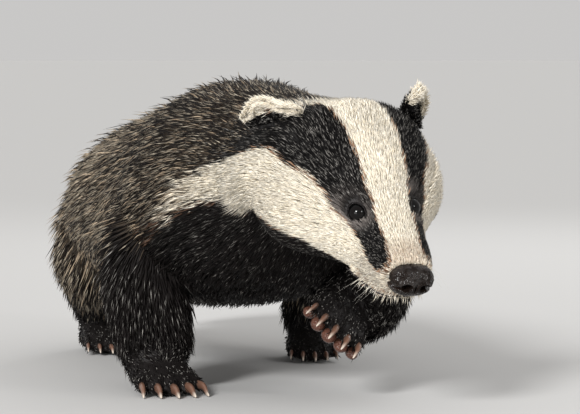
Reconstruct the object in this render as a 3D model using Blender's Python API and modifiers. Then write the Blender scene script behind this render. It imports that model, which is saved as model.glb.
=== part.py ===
# European badger, life size, walking with its left forepaw lifted.
# The animal faces -Y, its left side is +X, and its three standing feet rest on z = 0.
import math
import random
from collections import namedtuple

import bmesh
import bpy
import numpy as np
from mathutils import Matrix, Vector

MM = 0.001
GAP = 0.3 * MM
MANY_PIECES = "MANIFOLD"
MERGE_DISTANCES = (0.01 * MM, 0.004 * MM, 0.0015 * MM, 0.0005 * MM, 0.0)
LOCK_SEED = 14

# Driving dimensions, in millimetres
HEAD_ORIGIN = (25.6, -151.0, 175.0)
HEAD_YAW = 20.0
HEAD_PITCH = -32.7
HEAD_ROLL = 4.7
NOSE_REACH = 152.0
EYE_PLACE = (20.0, 94.2, 18.6)
EYE_OUTWARD = (0.60, 0.54, 0.59)
EYE_RADIUS = 6.8
SHOULDER_HEIGHT = 227.0
RUMP_END = 404.0
FORE_CLAW = 24.0
HIND_CLAW = 13.0

# One ring of the body: its centre, how it is turned, its half width, its reach above and
# below the centre, and how deep the coat is there. Outer sizes are to the tips of the coat.
Ring = namedtuple("Ring", "x y z yaw pitch roll half_width rise drop coat")


def unit(vector):
    vector = np.asarray(vector, float)
    return vector / np.linalg.norm(vector, axis=-1, keepdims=True)


def facing(yaw, pitch, roll):
    """The right, forward and up directions of something that faces -Y at zero yaw."""
    yaw, pitch, roll = (np.radians(np.asarray(a, float)) for a in (yaw, pitch, roll))
    forward = np.stack([np.sin(yaw) * np.cos(pitch), -np.cos(yaw) * np.cos(pitch), np.sin(pitch)], -1)
    level = np.stack([-np.cos(yaw), -np.sin(yaw), np.zeros_like(yaw)], -1)
    above = np.cross(level, forward)
    right = level * np.cos(roll)[..., None] - above * np.sin(roll)[..., None]
    return right, forward, np.cross(right, forward)


HEAD_RIGHT, HEAD_FORWARD, HEAD_UP = facing(HEAD_YAW, HEAD_PITCH, HEAD_ROLL)


def in_head(right, forward, up):
    """A point of the head, in millimetres, from how far right, forward and up it is."""
    return np.array(HEAD_ORIGIN) + right * HEAD_RIGHT + forward * HEAD_FORWARD + up * HEAD_UP


def head_ring(forward, centre_up, half_width, rise, drop, coat):
    x, y, z = in_head(0.0, forward, centre_up)
    return Ring(x, y, z, HEAD_YAW, HEAD_PITCH, HEAD_ROLL, half_width, rise, drop, coat)


BODY_RINGS = [
    Ring(-6, RUMP_END, 146, 0, 0, 0, 20, 16, 20, 14),
    Ring(-6, 391, 138, 0, 0, 0, 57, 42, 48, 22),
    Ring(-6, 358, 124, 0, 0, 0, 89, 68, 66, 26),
    Ring(-5, 310, 114, 0, 0, 0, 107, 85, 65, 28),
    Ring(-4, 250, 113, 0, 0, 0, 112, 91, 63, 28),
    Ring(-2, 180, 115, 0, 0, 0, 110, 94, 63, 28),
    Ring(0, 110, 119, 0, 0, 0, 104, 100, 62, 26),
    Ring(0, 45, 124, 0, 0, 0, 99, SHOULDER_HEIGHT - 124, 62, 24),
    Ring(0, -5, 127, 3, 0, 0, 96, SHOULDER_HEIGHT - 127, 61, 21),
    Ring(5, -55, 134, 8, -4, 1, 86, 88, 59, 18),
    Ring(14, -102, 145, 13, -12, 2, 75, 74, 58, 15),
    Ring(23, -141, 158, 17, -23, 4, 70, 62, 56, 12),
    head_ring(20, 2, 69, 58, 52, 9),
    head_ring(42, -2, 69, 58, 44, 7),
    head_ring(60, -5, 66, 54, 37, 6),
    head_ring(80, -2, 49, 39.5, 31, 5),
    head_ring(97, 1, 34, 27, 29, 4),
    head_ring(112, 0, 27.5, 21.5, 26, 3),
    head_ring(126, -1, 24.5, 18, 22.5, 3),
    head_ring(137, -2, 20.5, 14.5, 17.5, 2),
    head_ring(142.5, -2.5, 15.5, 10.5, 12.5, 2),
]

# Where the body is parted: the head by a plane, given as a point and the yaw and pitch of its
# normal, and the trunk at places counted in rings from the rump
HEAD_CUT = (in_head(0, -4, 0), 18.5, -27.0)
NECK_CUT = 9.35
SHOULDER_CUT = 6.5
BARREL_CUT = 4.35


def smooth_through(values, where):
    """Catmull-Rom values at the places where, counted in rows of values."""
    values = np.asarray(values, float)
    last = len(values) - 1
    row = np.clip(np.floor(where).astype(int), 0, last - 1)
    t = (where - row)[:, None]
    before, after = values[np.maximum(row - 1, 0)], values[np.minimum(row + 2, last)]
    a, b = values[row], values[row + 1]
    return 0.5 * (2 * a + (b - before) * t + (2 * before - 5 * a + 4 * b - after) * t**2
                  + (3 * a - before - 3 * b + after) * t**3)


class Body:
    """The body's surface, addressed by the length from the rump and the angle from the top."""

    SAMPLES = 600
    BELLY_THINNING = 0.75

    def __init__(self, rings):
        where = np.linspace(0, len(rings) - 1, self.SAMPLES)
        self.table = smooth_through(rings, where)
        steps = np.linalg.norm(np.diff(self.table[:, :3], axis=0), axis=1)
        self.along = np.concatenate([[0], np.cumsum(steps)])
        self.ring_at = np.interp(np.arange(len(rings)), where, self.along)

    def rows(self, along):
        return [np.interp(along, self.along, column) for column in self.table.T]

    def points(self, along, angle, inset_share, grown=0.0):
        """Points in millimetres; inset_share 0 is the coat's tips and 1 is the skin."""
        along, angle, inset_share = np.broadcast_arrays(along, angle, inset_share)
        x, y, z, yaw, pitch, roll, half_width, rise, drop, coat = self.rows(along)
        belly = np.clip((-np.cos(angle) - 0.35) / 0.45, 0, 1)
        inset = coat * inset_share * (1 - self.BELLY_THINNING * belly**2 * (3 - 2 * belly)) - grown
        right, _, up = facing(yaw, pitch, roll)
        height = np.where(np.cos(angle) > 0, rise, drop) - inset
        sideways = (half_width - inset) * np.sin(angle)
        upward = height * np.cos(angle)
        return np.stack([x, y, z], -1) + sideways[..., None] * right + upward[..., None] * up


BODY = Body(BODY_RINGS)


def material(name, colour, roughness):
    found = bpy.data.materials.get(name)
    if found:
        return found
    made = bpy.data.materials.new(name)
    made.use_nodes = True
    shader = made.node_tree.nodes["Principled BSDF"]
    shader.inputs["Base Color"].default_value = (*colour, 1.0)
    shader.inputs["Roughness"].default_value = roughness
    shader.inputs["Metallic"].default_value = 0.0
    return made


PALETTE = {
    "face_fur": ((0.78, 0.71, 0.60), 0.85),
    "grey_coat": ((0.24, 0.21, 0.18), 0.9),
    "black_fur": ((0.02, 0.018, 0.017), 0.85),
    "ear_fur": ((0.75, 0.70, 0.62), 0.9),
    "nose_leather": ((0.025, 0.021, 0.021), 0.35),
    "eye_gloss": ((0.006, 0.004, 0.003), 0.05),
}


def object_from(name, vertices, faces):
    mesh = bpy.data.meshes.new(name)
    mesh.from_pydata([tuple(v) for v in vertices], [], faces)
    mesh.update()
    made = bpy.data.objects.new(name, mesh)
    bpy.context.scene.collection.objects.link(made)
    return made


def skinned(name, rings, start=None, end=None):
    """A closed solid over rings, an array (rings, sides, 3) in millimetres, with pole points."""
    rings = np.asarray(rings, float)
    count, sides, _ = rings.shape
    start = rings[0].mean(0) if start is None else np.asarray(start, float)
    end = rings[-1].mean(0) if end is None else np.asarray(end, float)
    vertices = np.concatenate([rings.reshape(-1, 3), [start], [end]]) * MM
    faces = []
    for side in range(sides):
        after = (side + 1) % sides
        for ring in range(count - 1):
            low, high = ring * sides, (ring + 1) * sides
            faces.append((low + side, low + after, high + after, high + side))
        faces.append((after, side, count * sides))
        top = (count - 1) * sides
        faces.append((top + side, top + after, count * sides + 1))
    made = object_from(name, vertices, faces)
    face_outward(made)
    return made


def face_outward(obj):
    work = bmesh.new()
    work.from_mesh(obj.data)
    bmesh.ops.recalc_face_normals(work, faces=work.faces)
    if work.calc_volume(signed=True) < 0:
        bmesh.ops.reverse_faces(work, faces=work.faces)
    work.to_mesh(obj.data)
    work.free()


def tube(name, path, widths, heights, sides, upward=(0, 0, 1), blunt=0.35):
    """A tapering solid along a path, with an elliptical ring at each point, in millimetres."""
    path = np.asarray(path, float)
    heading = unit(np.gradient(path, axis=0))
    side_way = unit(np.cross(heading, np.asarray(upward, float)))
    up_way = np.cross(side_way, heading)
    angle = np.linspace(0, 2 * np.pi, sides, endpoint=False)
    widths, heights = np.asarray(widths, float), np.asarray(heights, float)
    rings = (path[:, None] + (widths[:, None] * np.cos(angle))[..., None] * side_way[:, None]
             + (heights[:, None] * np.sin(angle))[..., None] * up_way[:, None])
    start = path[0] - heading[0] * blunt * min(widths[0], heights[0])
    end = path[-1] + heading[-1] * blunt * min(widths[-1], heights[-1])
    return skinned(name, rings, start, end)


def curved(points, count):
    """A smooth run of count points through the given ones."""
    return smooth_through(points, np.linspace(0, len(points) - 1, count))


def ball(name, centre, radii, axes=None, segments=16, rings=10):
    """A UV sphere squeezed to radii along three axes, in millimetres."""
    bpy.ops.mesh.primitive_uv_sphere_add(segments=segments, ring_count=rings, radius=1.0)
    made = bpy.context.object
    made.name = name
    turn = Matrix.Identity(3) if axes is None else Matrix(np.array(axes, float).T.tolist())
    scale = Matrix.Diagonal(Vector(radii) * MM)
    made.data.transform((turn @ scale).to_4x4())
    made.data.transform(Matrix.Translation(Vector(centre) * MM))
    face_outward(made)
    return made


def remove(objects):
    for obj in list(objects):
        bpy.data.objects.remove(obj)


def apply_modifier(obj):
    """Replaces the object's mesh with what its modifiers make of it."""
    graph = bpy.context.evaluated_depsgraph_get()
    mesh = bpy.data.meshes.new_from_object(obj.evaluated_get(graph))
    obj.modifiers.clear()
    obj.data = mesh


def boolean(obj, others, operation, solver="EXACT"):
    """Joins others to obj, cuts them from it, or keeps what they share, and removes them."""
    operands = bpy.data.collections.new("operands")
    bpy.context.scene.collection.children.link(operands)
    for other in others:
        for holder in list(other.users_collection):
            holder.objects.unlink(other)
        operands.objects.link(other)
    modifier = obj.modifiers.new("shape", "BOOLEAN")
    modifier.operation = operation
    modifier.solver = solver
    modifier.operand_type = "COLLECTION"
    modifier.collection = operands
    apply_modifier(obj)
    remove(operands.objects)
    bpy.data.collections.remove(operands)
    return obj


def copy_of(obj, name, grown=0.0):
    """A copy of a solid, grown outwards by some millimetres."""
    made = bpy.data.objects.new(name, obj.data.copy())
    bpy.context.scene.collection.objects.link(made)
    if grown:
        work = bmesh.new()
        work.from_mesh(made.data)
        bmesh.ops.triangulate(work, faces=work.faces)
        work.normal_update()
        for vertex in work.verts:
            vertex.co += vertex.normal * (grown * MM)
        work.to_mesh(made.data)
        work.free()
    return made


def merged(obj, distance):
    """The object's mesh in triangles, with points nearer than the distance made one."""
    work = bmesh.new()
    work.from_mesh(obj.data)
    bmesh.ops.triangulate(work, faces=work.faces)
    if distance > 0:
        bmesh.ops.remove_doubles(work, verts=work.verts, dist=distance)
        bmesh.ops.dissolve_degenerate(work, edges=work.edges, dist=distance)
    return work


def keep_largest(obj):
    """Merges points that coincide and keeps the largest closed surface of the object."""
    for distance in MERGE_DISTANCES:
        work = merged(obj, distance)
        if all(len(edge.link_faces) == 2 for edge in work.edges):
            break
        if distance > 0:
            work.free()
    unseen, groups = set(work.verts), []
    while unseen:
        group, todo = set(), [unseen.pop()]
        while todo:
            vertex = todo.pop()
            group.add(vertex)
            near = {edge.other_vert(vertex) for edge in vertex.link_edges} & unseen
            unseen -= near
            todo += near
        groups.append(group)
    largest = max(groups, key=len)
    bmesh.ops.delete(work, geom=[v for v in work.verts if v not in largest], context="VERTS")
    bmesh.ops.triangulate(work, faces=work.faces)
    work.to_mesh(obj.data)
    work.free()


# The lie of the coat: locks run back along the body and fall away from the spine.
# along is how far each patch of the coat runs, from the rump, as ring numbers.
Coat = namedtuple("Coat", "first last row_step across length width thickness fall")
BODY_COAT = [
    Coat(1.5, 6.4, 46, 38, 94, 30, 7.5, 26),
    Coat(6.8, 9.2, 44, 37, 86, 30, 7.5, 24),
    Coat(9.6, 10.75, 36, 34, 60, 26, 6.0, 18),
]
COAT_REACH = math.radians(118)
LOCK_WIDTHS = np.array([0.8, 1.0, 0.58])
LOCK_THICKNESS = np.array([1.0, 0.9, 0.6])
LOCK_STEPS = np.array([0.0, 0.28, 0.66, 1.0])
LOCK_ROOT_SHARE = 0.85
SHORTEST_LOCK = 34.0
CORE_SHARE = 0.5


def flat_lock(name, spine, outward, across, width, thickness):
    """A flat, tapered lock along its spine: a low ridge over a flat underside, and a pointed end."""
    half, thick = LOCK_WIDTHS * width / 2, LOCK_THICKNESS * thickness
    body, tip = spine[:-1], spine[-1]
    corners = np.stack([
        body + across[:-1] * half[:, None] - outward[:-1] * thick[:, None] * 0.4,
        body + outward[:-1] * thick[:, None] * 0.6,
        body - across[:-1] * half[:, None] - outward[:-1] * thick[:, None] * 0.4,
    ], 1)
    return skinned(name, corners, end=tip)


def body_lock(name, along, angle, patch, rng):
    """One lock of the body's coat, bent round the body from its sunk root to its raised tip."""
    length = min(patch.length * rng.uniform(0.85, 1.15), along - 3.0)
    fall = math.radians(patch.fall * abs(math.sin(angle)) ** 0.7 + rng.uniform(-7, 7))
    fall *= math.copysign(1.0, angle)
    t = LOCK_STEPS
    half_width = float(np.interp(along, BODY.along, BODY.table[:, 6]))
    run = along - length * math.cos(fall) * t
    turn = angle + length * (math.sin(fall) * t * (0.6 + 0.4 * t) + rng.uniform(-0.09, 0.09) * t**2) / half_width
    share = LOCK_ROOT_SHARE * (1 - np.sin(t * math.pi / 2)) ** 1.15
    spine = BODY.points(run, turn, share)
    outward = unit(spine - BODY.points(run, turn, share + 0.2))
    heading = unit(np.gradient(spine, axis=0))
    across = unit(np.cross(heading, outward))
    width = patch.width * rng.uniform(0.85, 1.12)
    return flat_lock(name, spine, outward, across, width, patch.thickness)


def clear_of_legs(along, angle, clearances):
    """True where a lock rooted there stays out of the boxes that the legs are cut by."""
    tip = BODY.points(along - 60, angle * 1.12, 0.2)
    root = BODY.points(along, angle, 0.2)
    return not any(box.holds(p) for box in clearances for p in (tip, root, (tip + root) / 2))


def body_locks(rng, clearances):
    locks = []
    for patch in BODY_COAT:
        first, last = np.interp([patch.first, patch.last], np.arange(len(BODY_RINGS)), BODY.ring_at)
        rows = max(2, round((last - first) / patch.row_step) + 1)
        for row, along in enumerate(np.linspace(first, last, rows)):
            girth = float(np.interp(along, BODY.along, BODY.table[:, 6]))
            count = max(5, round(2 * COAT_REACH * girth / patch.across))
            for place in range(count):
                shift = 0.5 * (row % 2)
                angle = COAT_REACH * (2 * (place + 0.25 + shift) / count - 1)
                angle += rng.uniform(-0.12, 0.12) * patch.across / girth
                short = along < SHORTEST_LOCK
                if short or abs(angle) > COAT_REACH or not clear_of_legs(along, angle, clearances):
                    continue
                start = along + rng.uniform(-0.2, 0.2) * patch.row_step
                locks.append(body_lock(f"lock_{len(locks)}", start, angle, patch, rng))
    return locks


# Tail: a short brush, carried down behind the rump
TAIL_SPINE = [(-6, 386, 152), (-6, 410, 147), (-5, 440, 128), (-4, 468, 104), (-3, 492, 80)]
TAIL_WIDTHS = [13, 12, 11, 9, 5]
TAIL_LOCK = Coat(0.5, 4.0, 25, 22, 62, 25, 6.0, 0)
TAIL_ROWS = 3
TAIL_AROUND = 4
TAIL_REGION = [(-6, 398, 148), (-6, 412, 146), (-5, 440, 128), (-4, 480, 98), (-3, 540, 40)]
TAIL_REGION_RADII = [19, 30, 42, 50, 60]


def tail_core():
    path = curved(TAIL_SPINE, 9)
    width = np.interp(np.linspace(0, 4, 9), range(5), TAIL_WIDTHS)
    return tube("tail_core", path, width, width * 0.85, 8)


def tail_region(grown):
    """The widening space round the tail, flat in front, that parts the tail from the rump."""
    path = np.array(TAIL_REGION, float)
    path[0, 1] -= grown
    radii = np.array(TAIL_REGION_RADII, float) + grown
    return tube("tail_region", path, radii, radii, 12, blunt=0.0)


def tail_locks(rng):
    locks = []
    spine = curved(TAIL_SPINE, 41)
    heading = unit(np.gradient(spine, axis=0))
    side_way = np.array([1.0, 0.0, 0.0])
    for row, start in enumerate(np.linspace(0.26, 0.84, TAIL_ROWS)):
        at = int(start * 40)
        up_way = unit(np.cross(side_way, heading[at]))
        width = float(np.interp(start * 4, range(5), TAIL_WIDTHS))
        for place in range(TAIL_AROUND):
            angle = 2 * math.pi * (place + 0.5 * (row % 2)) / TAIL_AROUND + rng.uniform(-0.15, 0.15)
            out = side_way * math.cos(angle) + up_way * math.sin(angle)
            length = TAIL_LOCK.length * rng.uniform(0.8, 1.1)
            t = LOCK_STEPS
            stand = width * (0.35 + 1.15 * np.sin(t * math.pi / 2))
            droop = np.stack([t * 0, t * 0, -9.0 * t**2], -1)
            points = spine[at] + heading[at] * (length * t)[:, None] + stand[:, None] * out + droop
            across = np.repeat([unit(np.cross(heading[at], out))], len(t), 0)
            outward = np.repeat([out], len(t), 0)
            locks.append(flat_lock(f"brush_{len(locks)}", points, outward, across,
                                   TAIL_LOCK.width, TAIL_LOCK.thickness))
    return locks


# Limbs: for each, the points down the limb, and the half width and half depth at each
Limb = namedtuple("Limb", "points widths depths")
FORELEG_RIGHT = Limb([(-60, 4, 148), (-70, 12, 112), (-76, 8, 84), (-76, -2, 58), (-74, -11, 34), (-73, -16, 16)],
                     [26, 33, 33, 31, 28, 24], [42, 42, 36, 31, 27, 22])
FORELEG_LEFT = Limb([(58, 6, 150), (70, 12, 116), (82, -2, 88), (79, -30, 72), (69, -53, 63), (59, -70, 60)],
                    [26, 32, 32, 31, 29, 25], [42, 40, 35, 32, 28, 23])
HINDLEG_RIGHT = Limb([(-60, 296, 138), (-76, 298, 106), (-86, 300, 80), (-84, 322, 56), (-80, 340, 36), (-79, 343, 16)],
                     [36, 38, 32, 25, 20, 16], [50, 48, 39, 29, 22, 17])
HINDLEG_LEFT = Limb([(60, 272, 138), (74, 258, 106), (85, 240, 80), (84, 240, 56), (81, 248, 34), (80, 246, 16)],
                    [36, 38, 32, 25, 20, 16], [50, 50, 39, 29, 22, 17])
LIMB_SIDES = 12


def limb(name, spec):
    path = curved(spec.points, 11)
    spread = np.linspace(0, len(spec.points) - 1, 11)
    widths = np.interp(spread, range(len(spec.points)), spec.widths)
    depths = np.interp(spread, range(len(spec.points)), spec.depths)
    heading = unit(np.gradient(path, axis=0))
    side_way = unit(np.cross(heading, [0, -1, 0.001])) if abs(heading[-1][2]) > 0.5 else None
    if side_way is None:
        return tube(name, path, widths, depths, LIMB_SIDES)
    fore_way = np.cross(heading, side_way)
    angle = np.linspace(0, 2 * np.pi, LIMB_SIDES, endpoint=False)
    rings = (path[:, None] + (widths[:, None] * np.cos(angle))[..., None] * side_way[:, None]
             + (depths[:, None] * np.sin(angle))[..., None] * fore_way[:, None])
    return skinned(name, rings)


# Paws: the wrist, which way the toes reach, and which way the outer toe lies
Paw = namedtuple("Paw", "wrist reach across length half_width half_depth toe toe_radius claw sides lifted")
PAW_FORE_RIGHT = Paw((-73, -13, 15.2), (0.10, -0.98, -0.18), (-0.99, -0.10, 0.0), 43, 26, 13.5, 17, 6.2,
                     FORE_CLAW, 6, False)
PAW_FORE_LEFT = Paw((56, -71, 60), (-0.287, -0.943, -0.165), (0.72, -0.10, -0.68), 40, 25, 13, 17, 6.2,
                    FORE_CLAW, 6, True)
PAW_HIND_RIGHT = Paw((-79, 340, 12.5), (0.06, -0.99, -0.1), (-0.99, -0.06, 0.0), 53, 21, 12.5, 14, 5.4,
                     HIND_CLAW, 6, False)
PAW_HIND_LEFT = Paw((80, 243, 12.5), (-0.06, -0.99, -0.1), (0.99, -0.06, 0.0), 53, 21, 12.5, 14, 5.4,
                    HIND_CLAW, 6, False)
TOE_PLACES = np.array([-0.84, -0.44, 0.0, 0.44, 0.84])
TOE_REACHES = np.array([-0.2, 0.02, 0.1, 0.03, -0.14])
TOE_SIZES = np.array([0.84, 1.0, 1.03, 1.0, 0.9])


def paw_pieces(name, paw):
    """The palm, five toes with their pads, and five claws, as closed pieces to be joined."""
    reach, across = unit(paw.reach), unit(paw.across)
    across = unit(across - reach * (across @ reach))
    palm_way = np.cross(across, reach)
    if palm_way[2] > 0:
        palm_way = -palm_way
    wrist = np.array(paw.wrist, float)
    path = wrist + reach * (paw.length * np.linspace(-0.25, 0.95, 5))[:, None]
    widths = paw.half_width * np.array([0.72, 0.88, 0.97, 1.0, 0.84])
    depths = paw.half_depth * np.array([1.0, 1.0, 0.96, 0.84, 0.6])
    pieces = [tube(f"{name}_palm", path, widths, depths, 12, upward=-palm_way)]
    for index in range(5):
        size = TOE_SIZES[index]
        root = (wrist + reach * paw.length * (0.82 + TOE_REACHES[index] * 0.8)
                + across * paw.half_width * TOE_PLACES[index] * 0.86)
        spread = unit(reach + across * TOE_PLACES[index] * 0.16)
        knuckle = root + spread * paw.toe * 0.55 - palm_way * 1.2
        tip = root + spread * paw.toe * 1.2 + palm_way * 2.2
        toe = [root - spread * 6, knuckle, tip]
        radius = paw.toe_radius * size
        pieces.append(tube(f"{name}_toe_{index}", toe, radius * np.array([0.9, 1.0, 0.76]),
                           radius * np.array([0.98, 1.05, 0.74]), paw.sides, upward=-palm_way, blunt=0.6))
        if paw.lifted:
            pad = tip - spread * 1.5 + palm_way * 3.0
            pieces.append(ball(f"{name}_pad_{index}", pad, (5.2 * size, 6.8 * size, 4.6 * size),
                               (across, spread, palm_way), 8, 5))
        base = tip - spread * 3.5 - palm_way * radius * 0.4
        bow = base + spread * paw.claw * 0.5 - palm_way * paw.claw * 0.06
        point = base + spread * paw.claw * 0.92 + palm_way * paw.claw * 0.2
        claw = curved([base, bow, point], 4)[[0, 1, 2, 3] if paw.claw > HIND_CLAW else [0, 2, 3]]
        thick = (paw.claw * 0.1 * size + 0.6) * np.linspace(1.0, 0.2, len(claw))
        pieces.append(tube(f"{name}_claw_{index}", claw, thick * 0.85, thick * 1.3, 5,
                           upward=-palm_way, blunt=1.0))
    if paw.lifted:
        middle = wrist + reach * paw.length * 0.62 + palm_way * paw.half_depth * 0.66
        pieces.append(ball(f"{name}_sole", middle, (17, 10, 6), (across, reach, palm_way), 10, 6))
    return pieces


# Head
LIP_LINE = [(0, 142.5, -13.5), (9, 141, -13.8), (16.5, 136, -14.2), (21.5, 126, -14.5), (24.5, 113, -14.6),
            (28.5, 101, -14.5), (32, 92, -13.2)]
LIP_RADIUS = 2.8


def lip_path(count):
    """The lips' line from one corner of the mouth, round the front, to the other."""
    right_side = np.array(LIP_LINE, float)
    left_side = right_side[:0:-1] * [-1, 1, 1]
    line = curved(np.concatenate([left_side, right_side]), count)
    return np.array([in_head(*p) for p in line])


def eye_axes(side):
    out = unit(np.array(EYE_OUTWARD) * [side, 1, 1])
    out = out[0] * HEAD_RIGHT + out[1] * HEAD_FORWARD + out[2] * HEAD_UP
    along = unit(HEAD_FORWARD - out * (HEAD_FORWARD @ out))
    return along, np.cross(out, along), out


def eye_centre(side):
    return in_head(side * EYE_PLACE[0], EYE_PLACE[1], EYE_PLACE[2])


def lid_ring(name, side):
    """The two lids as one almond rim that hugs the front of the eye."""
    along, upward, out = eye_axes(side)
    turn = np.linspace(0, 2 * np.pi, 16, endpoint=False)[:, None]
    section = np.linspace(0, 2 * np.pi, 5, endpoint=False)[None, :]
    slit, height = 8.0 * np.cos(turn), 5.6 * np.sin(turn) * (1 - 0.2 * np.cos(turn) ** 2)
    lift = 4.9 - 1.2 * np.cos(turn) ** 2 + 0.6 * np.sin(turn)
    wide = 1 + 0.24 * np.cos(section)
    rings = (np.array(eye_centre(side)) + (slit * wide)[..., None] * along + (height * wide)[..., None] * upward
             + (lift + 1.6 * np.sin(section))[..., None] * out)
    count, sides, _ = rings.shape
    faces = [(r * sides + c, r * sides + (c + 1) % sides, ((r + 1) % count) * sides + (c + 1) % sides,
              ((r + 1) % count) * sides + c) for r in range(count) for c in range(sides)]
    made = object_from(name, rings.reshape(-1, 3) * MM, faces)
    face_outward(made)
    return made


def head_pieces():
    pieces = [tube("lips", lip_path(13), np.full(13, LIP_RADIUS), np.full(13, LIP_RADIUS), 6, upward=HEAD_UP)]
    for side in (-1, 1):
        along, upward, out = eye_axes(side)
        pieces.append(lid_ring(f"lids_{side}", side))
        brow = eye_centre(side) + HEAD_UP * 3.5 - HEAD_FORWARD * 7 - out * 1.0
        pieces.append(ball(f"brow_{side}", brow, (15, 8, 5.4), (along, upward, out), 12, 8))
    return pieces


def mouth_groove():
    """A thin blade along the lips' line that cuts the line of the mouth."""
    path = lip_path(15)
    middle = in_head(0, 100, -13)
    out = unit(path - middle)
    return tube("mouth_cutter", path + out * 3.0, np.full(15, 5.5), np.full(15, 0.7), 4, upward=HEAD_UP)


# Nose pad rings: how far forward, and the half width and half height there
NOSE_RINGS = [(134.0, 13.5, 8.0), (139.0, 16.0, 10.2), (144.0, 16.8, 10.8), (148.5, 15.4, 9.6), (151.3, 11.5, 7.0)]
NOSE_SQUARENESS = 0.8


def nose():
    """The nose leather: a broad pad with two comma-shaped nostrils and a groove between."""
    angle = np.linspace(0, 2 * np.pi, 18, endpoint=False)
    round_off = np.sign([np.cos(angle), np.sin(angle)]) * np.abs([np.cos(angle), np.sin(angle)]) ** NOSE_SQUARENESS
    rings = [[in_head(w * c, f, h * v - (0.8 if v < 0 else 0.0)) for c, v in round_off.T]
             for f, w, h in NOSE_RINGS]
    pad = skinned("nose", rings, end=in_head(0, NOSE_REACH, 0))
    holes = []
    for side in (-1, 1):
        holes.append(ball("hole", in_head(side * 7.6, NOSE_REACH + 0.5, -1.4), (3.3, 6.5, 3.1), (
            HEAD_RIGHT, HEAD_FORWARD, HEAD_UP), 10, 6))
        slit = curved([in_head(side * 9.5, NOSE_REACH - 0.8, -2.6), in_head(side * 13.6, NOSE_REACH - 4.2, -4.2),
                       in_head(side * 17.6, NOSE_REACH - 9.5, -3.4)], 4)
        holes.append(tube("slit", slit, [2.4, 2.2, 1.8, 1.4], [1.5, 1.3, 1.1, 0.9], 6, upward=HEAD_UP))
    groove = curved([in_head(0, NOSE_REACH + 0.4, -1), in_head(0, NOSE_REACH, -5),
                     in_head(0, NOSE_REACH - 5, -12)], 4)
    holes.append(tube("groove", groove, np.full(4, 0.7), np.full(4, 1.3), 4, upward=HEAD_FORWARD))
    return boolean(pad, holes, "DIFFERENCE")


# Ears: a rounded cup that opens forwards and outwards, on a base line from front to rear
EAR_FRONT = (35, 22, 52)
EAR_REAR = (69, 4, 17)
EAR_OUT = {1: (0.64, -0.42, 0.66), -1: (0.50, -0.22, 0.84)}
EAR_HEIGHT = {1: 31.0, -1: 28.0}
EAR_THICKNESS = 4.6


def ear_sheet(side, rows, columns):
    """The middle surface of the ear flap: rounded outline, bowed round the base line."""
    front, rear = np.array(EAR_FRONT, float), np.array(EAR_REAR, float)
    out = unit(EAR_OUT[side])
    hollow = unit(np.cross(rear - front, out))
    across = np.linspace(0, 1, columns)[None, :]
    height = np.linspace(-0.35, 1, rows)[:, None]
    outline = np.sin(np.pi * np.clip(0.13 + 0.74 * across, 0, 1)) ** 0.55
    narrow = 1 - 0.30 * np.clip(height, 0, 1) ** 2
    along = 0.5 + (across - 0.5) * narrow * (1 + 0.12 * np.sin(np.pi * np.clip(height, 0, 1)))
    bow = 9.0 * (1 - (2 * across - 1) ** 2) - 5.0 * np.clip(height, 0, 1) ** 2
    local = (front + (rear - front) * along[..., None] + out * (EAR_HEIGHT[side] * height * outline)[..., None]
             + hollow * bow[..., None])
    local = local * [side, 1, 1]
    return np.array([[in_head(*p) for p in row] for row in local])


def ear(name, side):
    grid = ear_sheet(side, 7, 9)
    rows, columns, _ = grid.shape
    faces = [(r * columns + c, r * columns + c + 1, (r + 1) * columns + c + 1, (r + 1) * columns + c)
             for r in range(rows - 1) for c in range(columns - 1)]
    made = object_from(name, grid.reshape(-1, 3) * MM, faces)
    shell = made.modifiers.new("flap", "SOLIDIFY")
    shell.thickness = EAR_THICKNESS * MM
    shell.offset = 0.0
    apply_modifier(made)
    face_outward(made)
    return made


# Cutting the whole animal into its named parts
REACH = 900.0


def block(name, centre, right, forward, up, half_sizes):
    """A box with its middle at centre, turned to three directions, in millimetres."""
    bpy.ops.mesh.primitive_cube_add(size=2.0)
    made = bpy.context.object
    made.name = name
    turn = Matrix(np.array([right, forward, up], float).T.tolist())
    made.data.transform((turn @ Matrix.Diagonal(Vector(half_sizes) * MM)).to_4x4())
    made.data.transform(Matrix.Translation(Vector(centre) * MM))
    face_outward(made)
    return made


def part_by_plane(whole, cut, front_name):
    """Cuts off what lies in front of a plane and returns (front, rest), a gap apart."""
    point, yaw, pitch = cut
    right, forward, up = facing(yaw, pitch, 0.0)
    half = (REACH, REACH, REACH)
    front = copy_of(whole, front_name)
    ahead = np.array(point) + forward * (REACH + GAP / MM / 2)
    behind = np.array(point) - forward * (REACH + GAP / MM / 2)
    boolean(front, [block("ahead", ahead, right, forward, up, half)], "INTERSECT", MANY_PIECES)
    boolean(whole, [block("behind", behind, right, forward, up, half)], "INTERSECT", MANY_PIECES)
    return front, whole


# Each cut across the trunk is flat through the core and then slants back through the coat, so that
# the locks in front of it lie over the ones behind.
FUNNEL_LENGTH = 62.0
FUNNEL_SHARES = (CORE_SHARE - 0.05, -0.45)


def behind_cut(place, grown):
    """Everything behind a cut across the trunk, as one solid."""
    start = float(np.interp(place, np.arange(len(BODY_RINGS)), BODY.ring_at)) + grown
    t = np.linspace(0, 1.1, 4)[:, None]
    angle = np.linspace(0, 2 * np.pi, 24, endpoint=False)[None, :]
    shares = FUNNEL_SHARES[0] + (FUNNEL_SHARES[1] - FUNNEL_SHARES[0]) * t
    plug = skinned("plug", BODY.points(start - FUNNEL_LENGTH * t, angle, shares, grown))
    x, y, z, yaw, pitch, *_ = (float(value) for value in BODY.rows(start - FUNNEL_LENGTH))
    right, forward, up = facing(yaw, pitch, 0.0)
    centre = np.array([x, y, z]) - forward * REACH
    rest = block("rest", centre, right, forward, up, (REACH, REACH, REACH))
    return boolean(rest, [plug], "UNION", MANY_PIECES)


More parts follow.
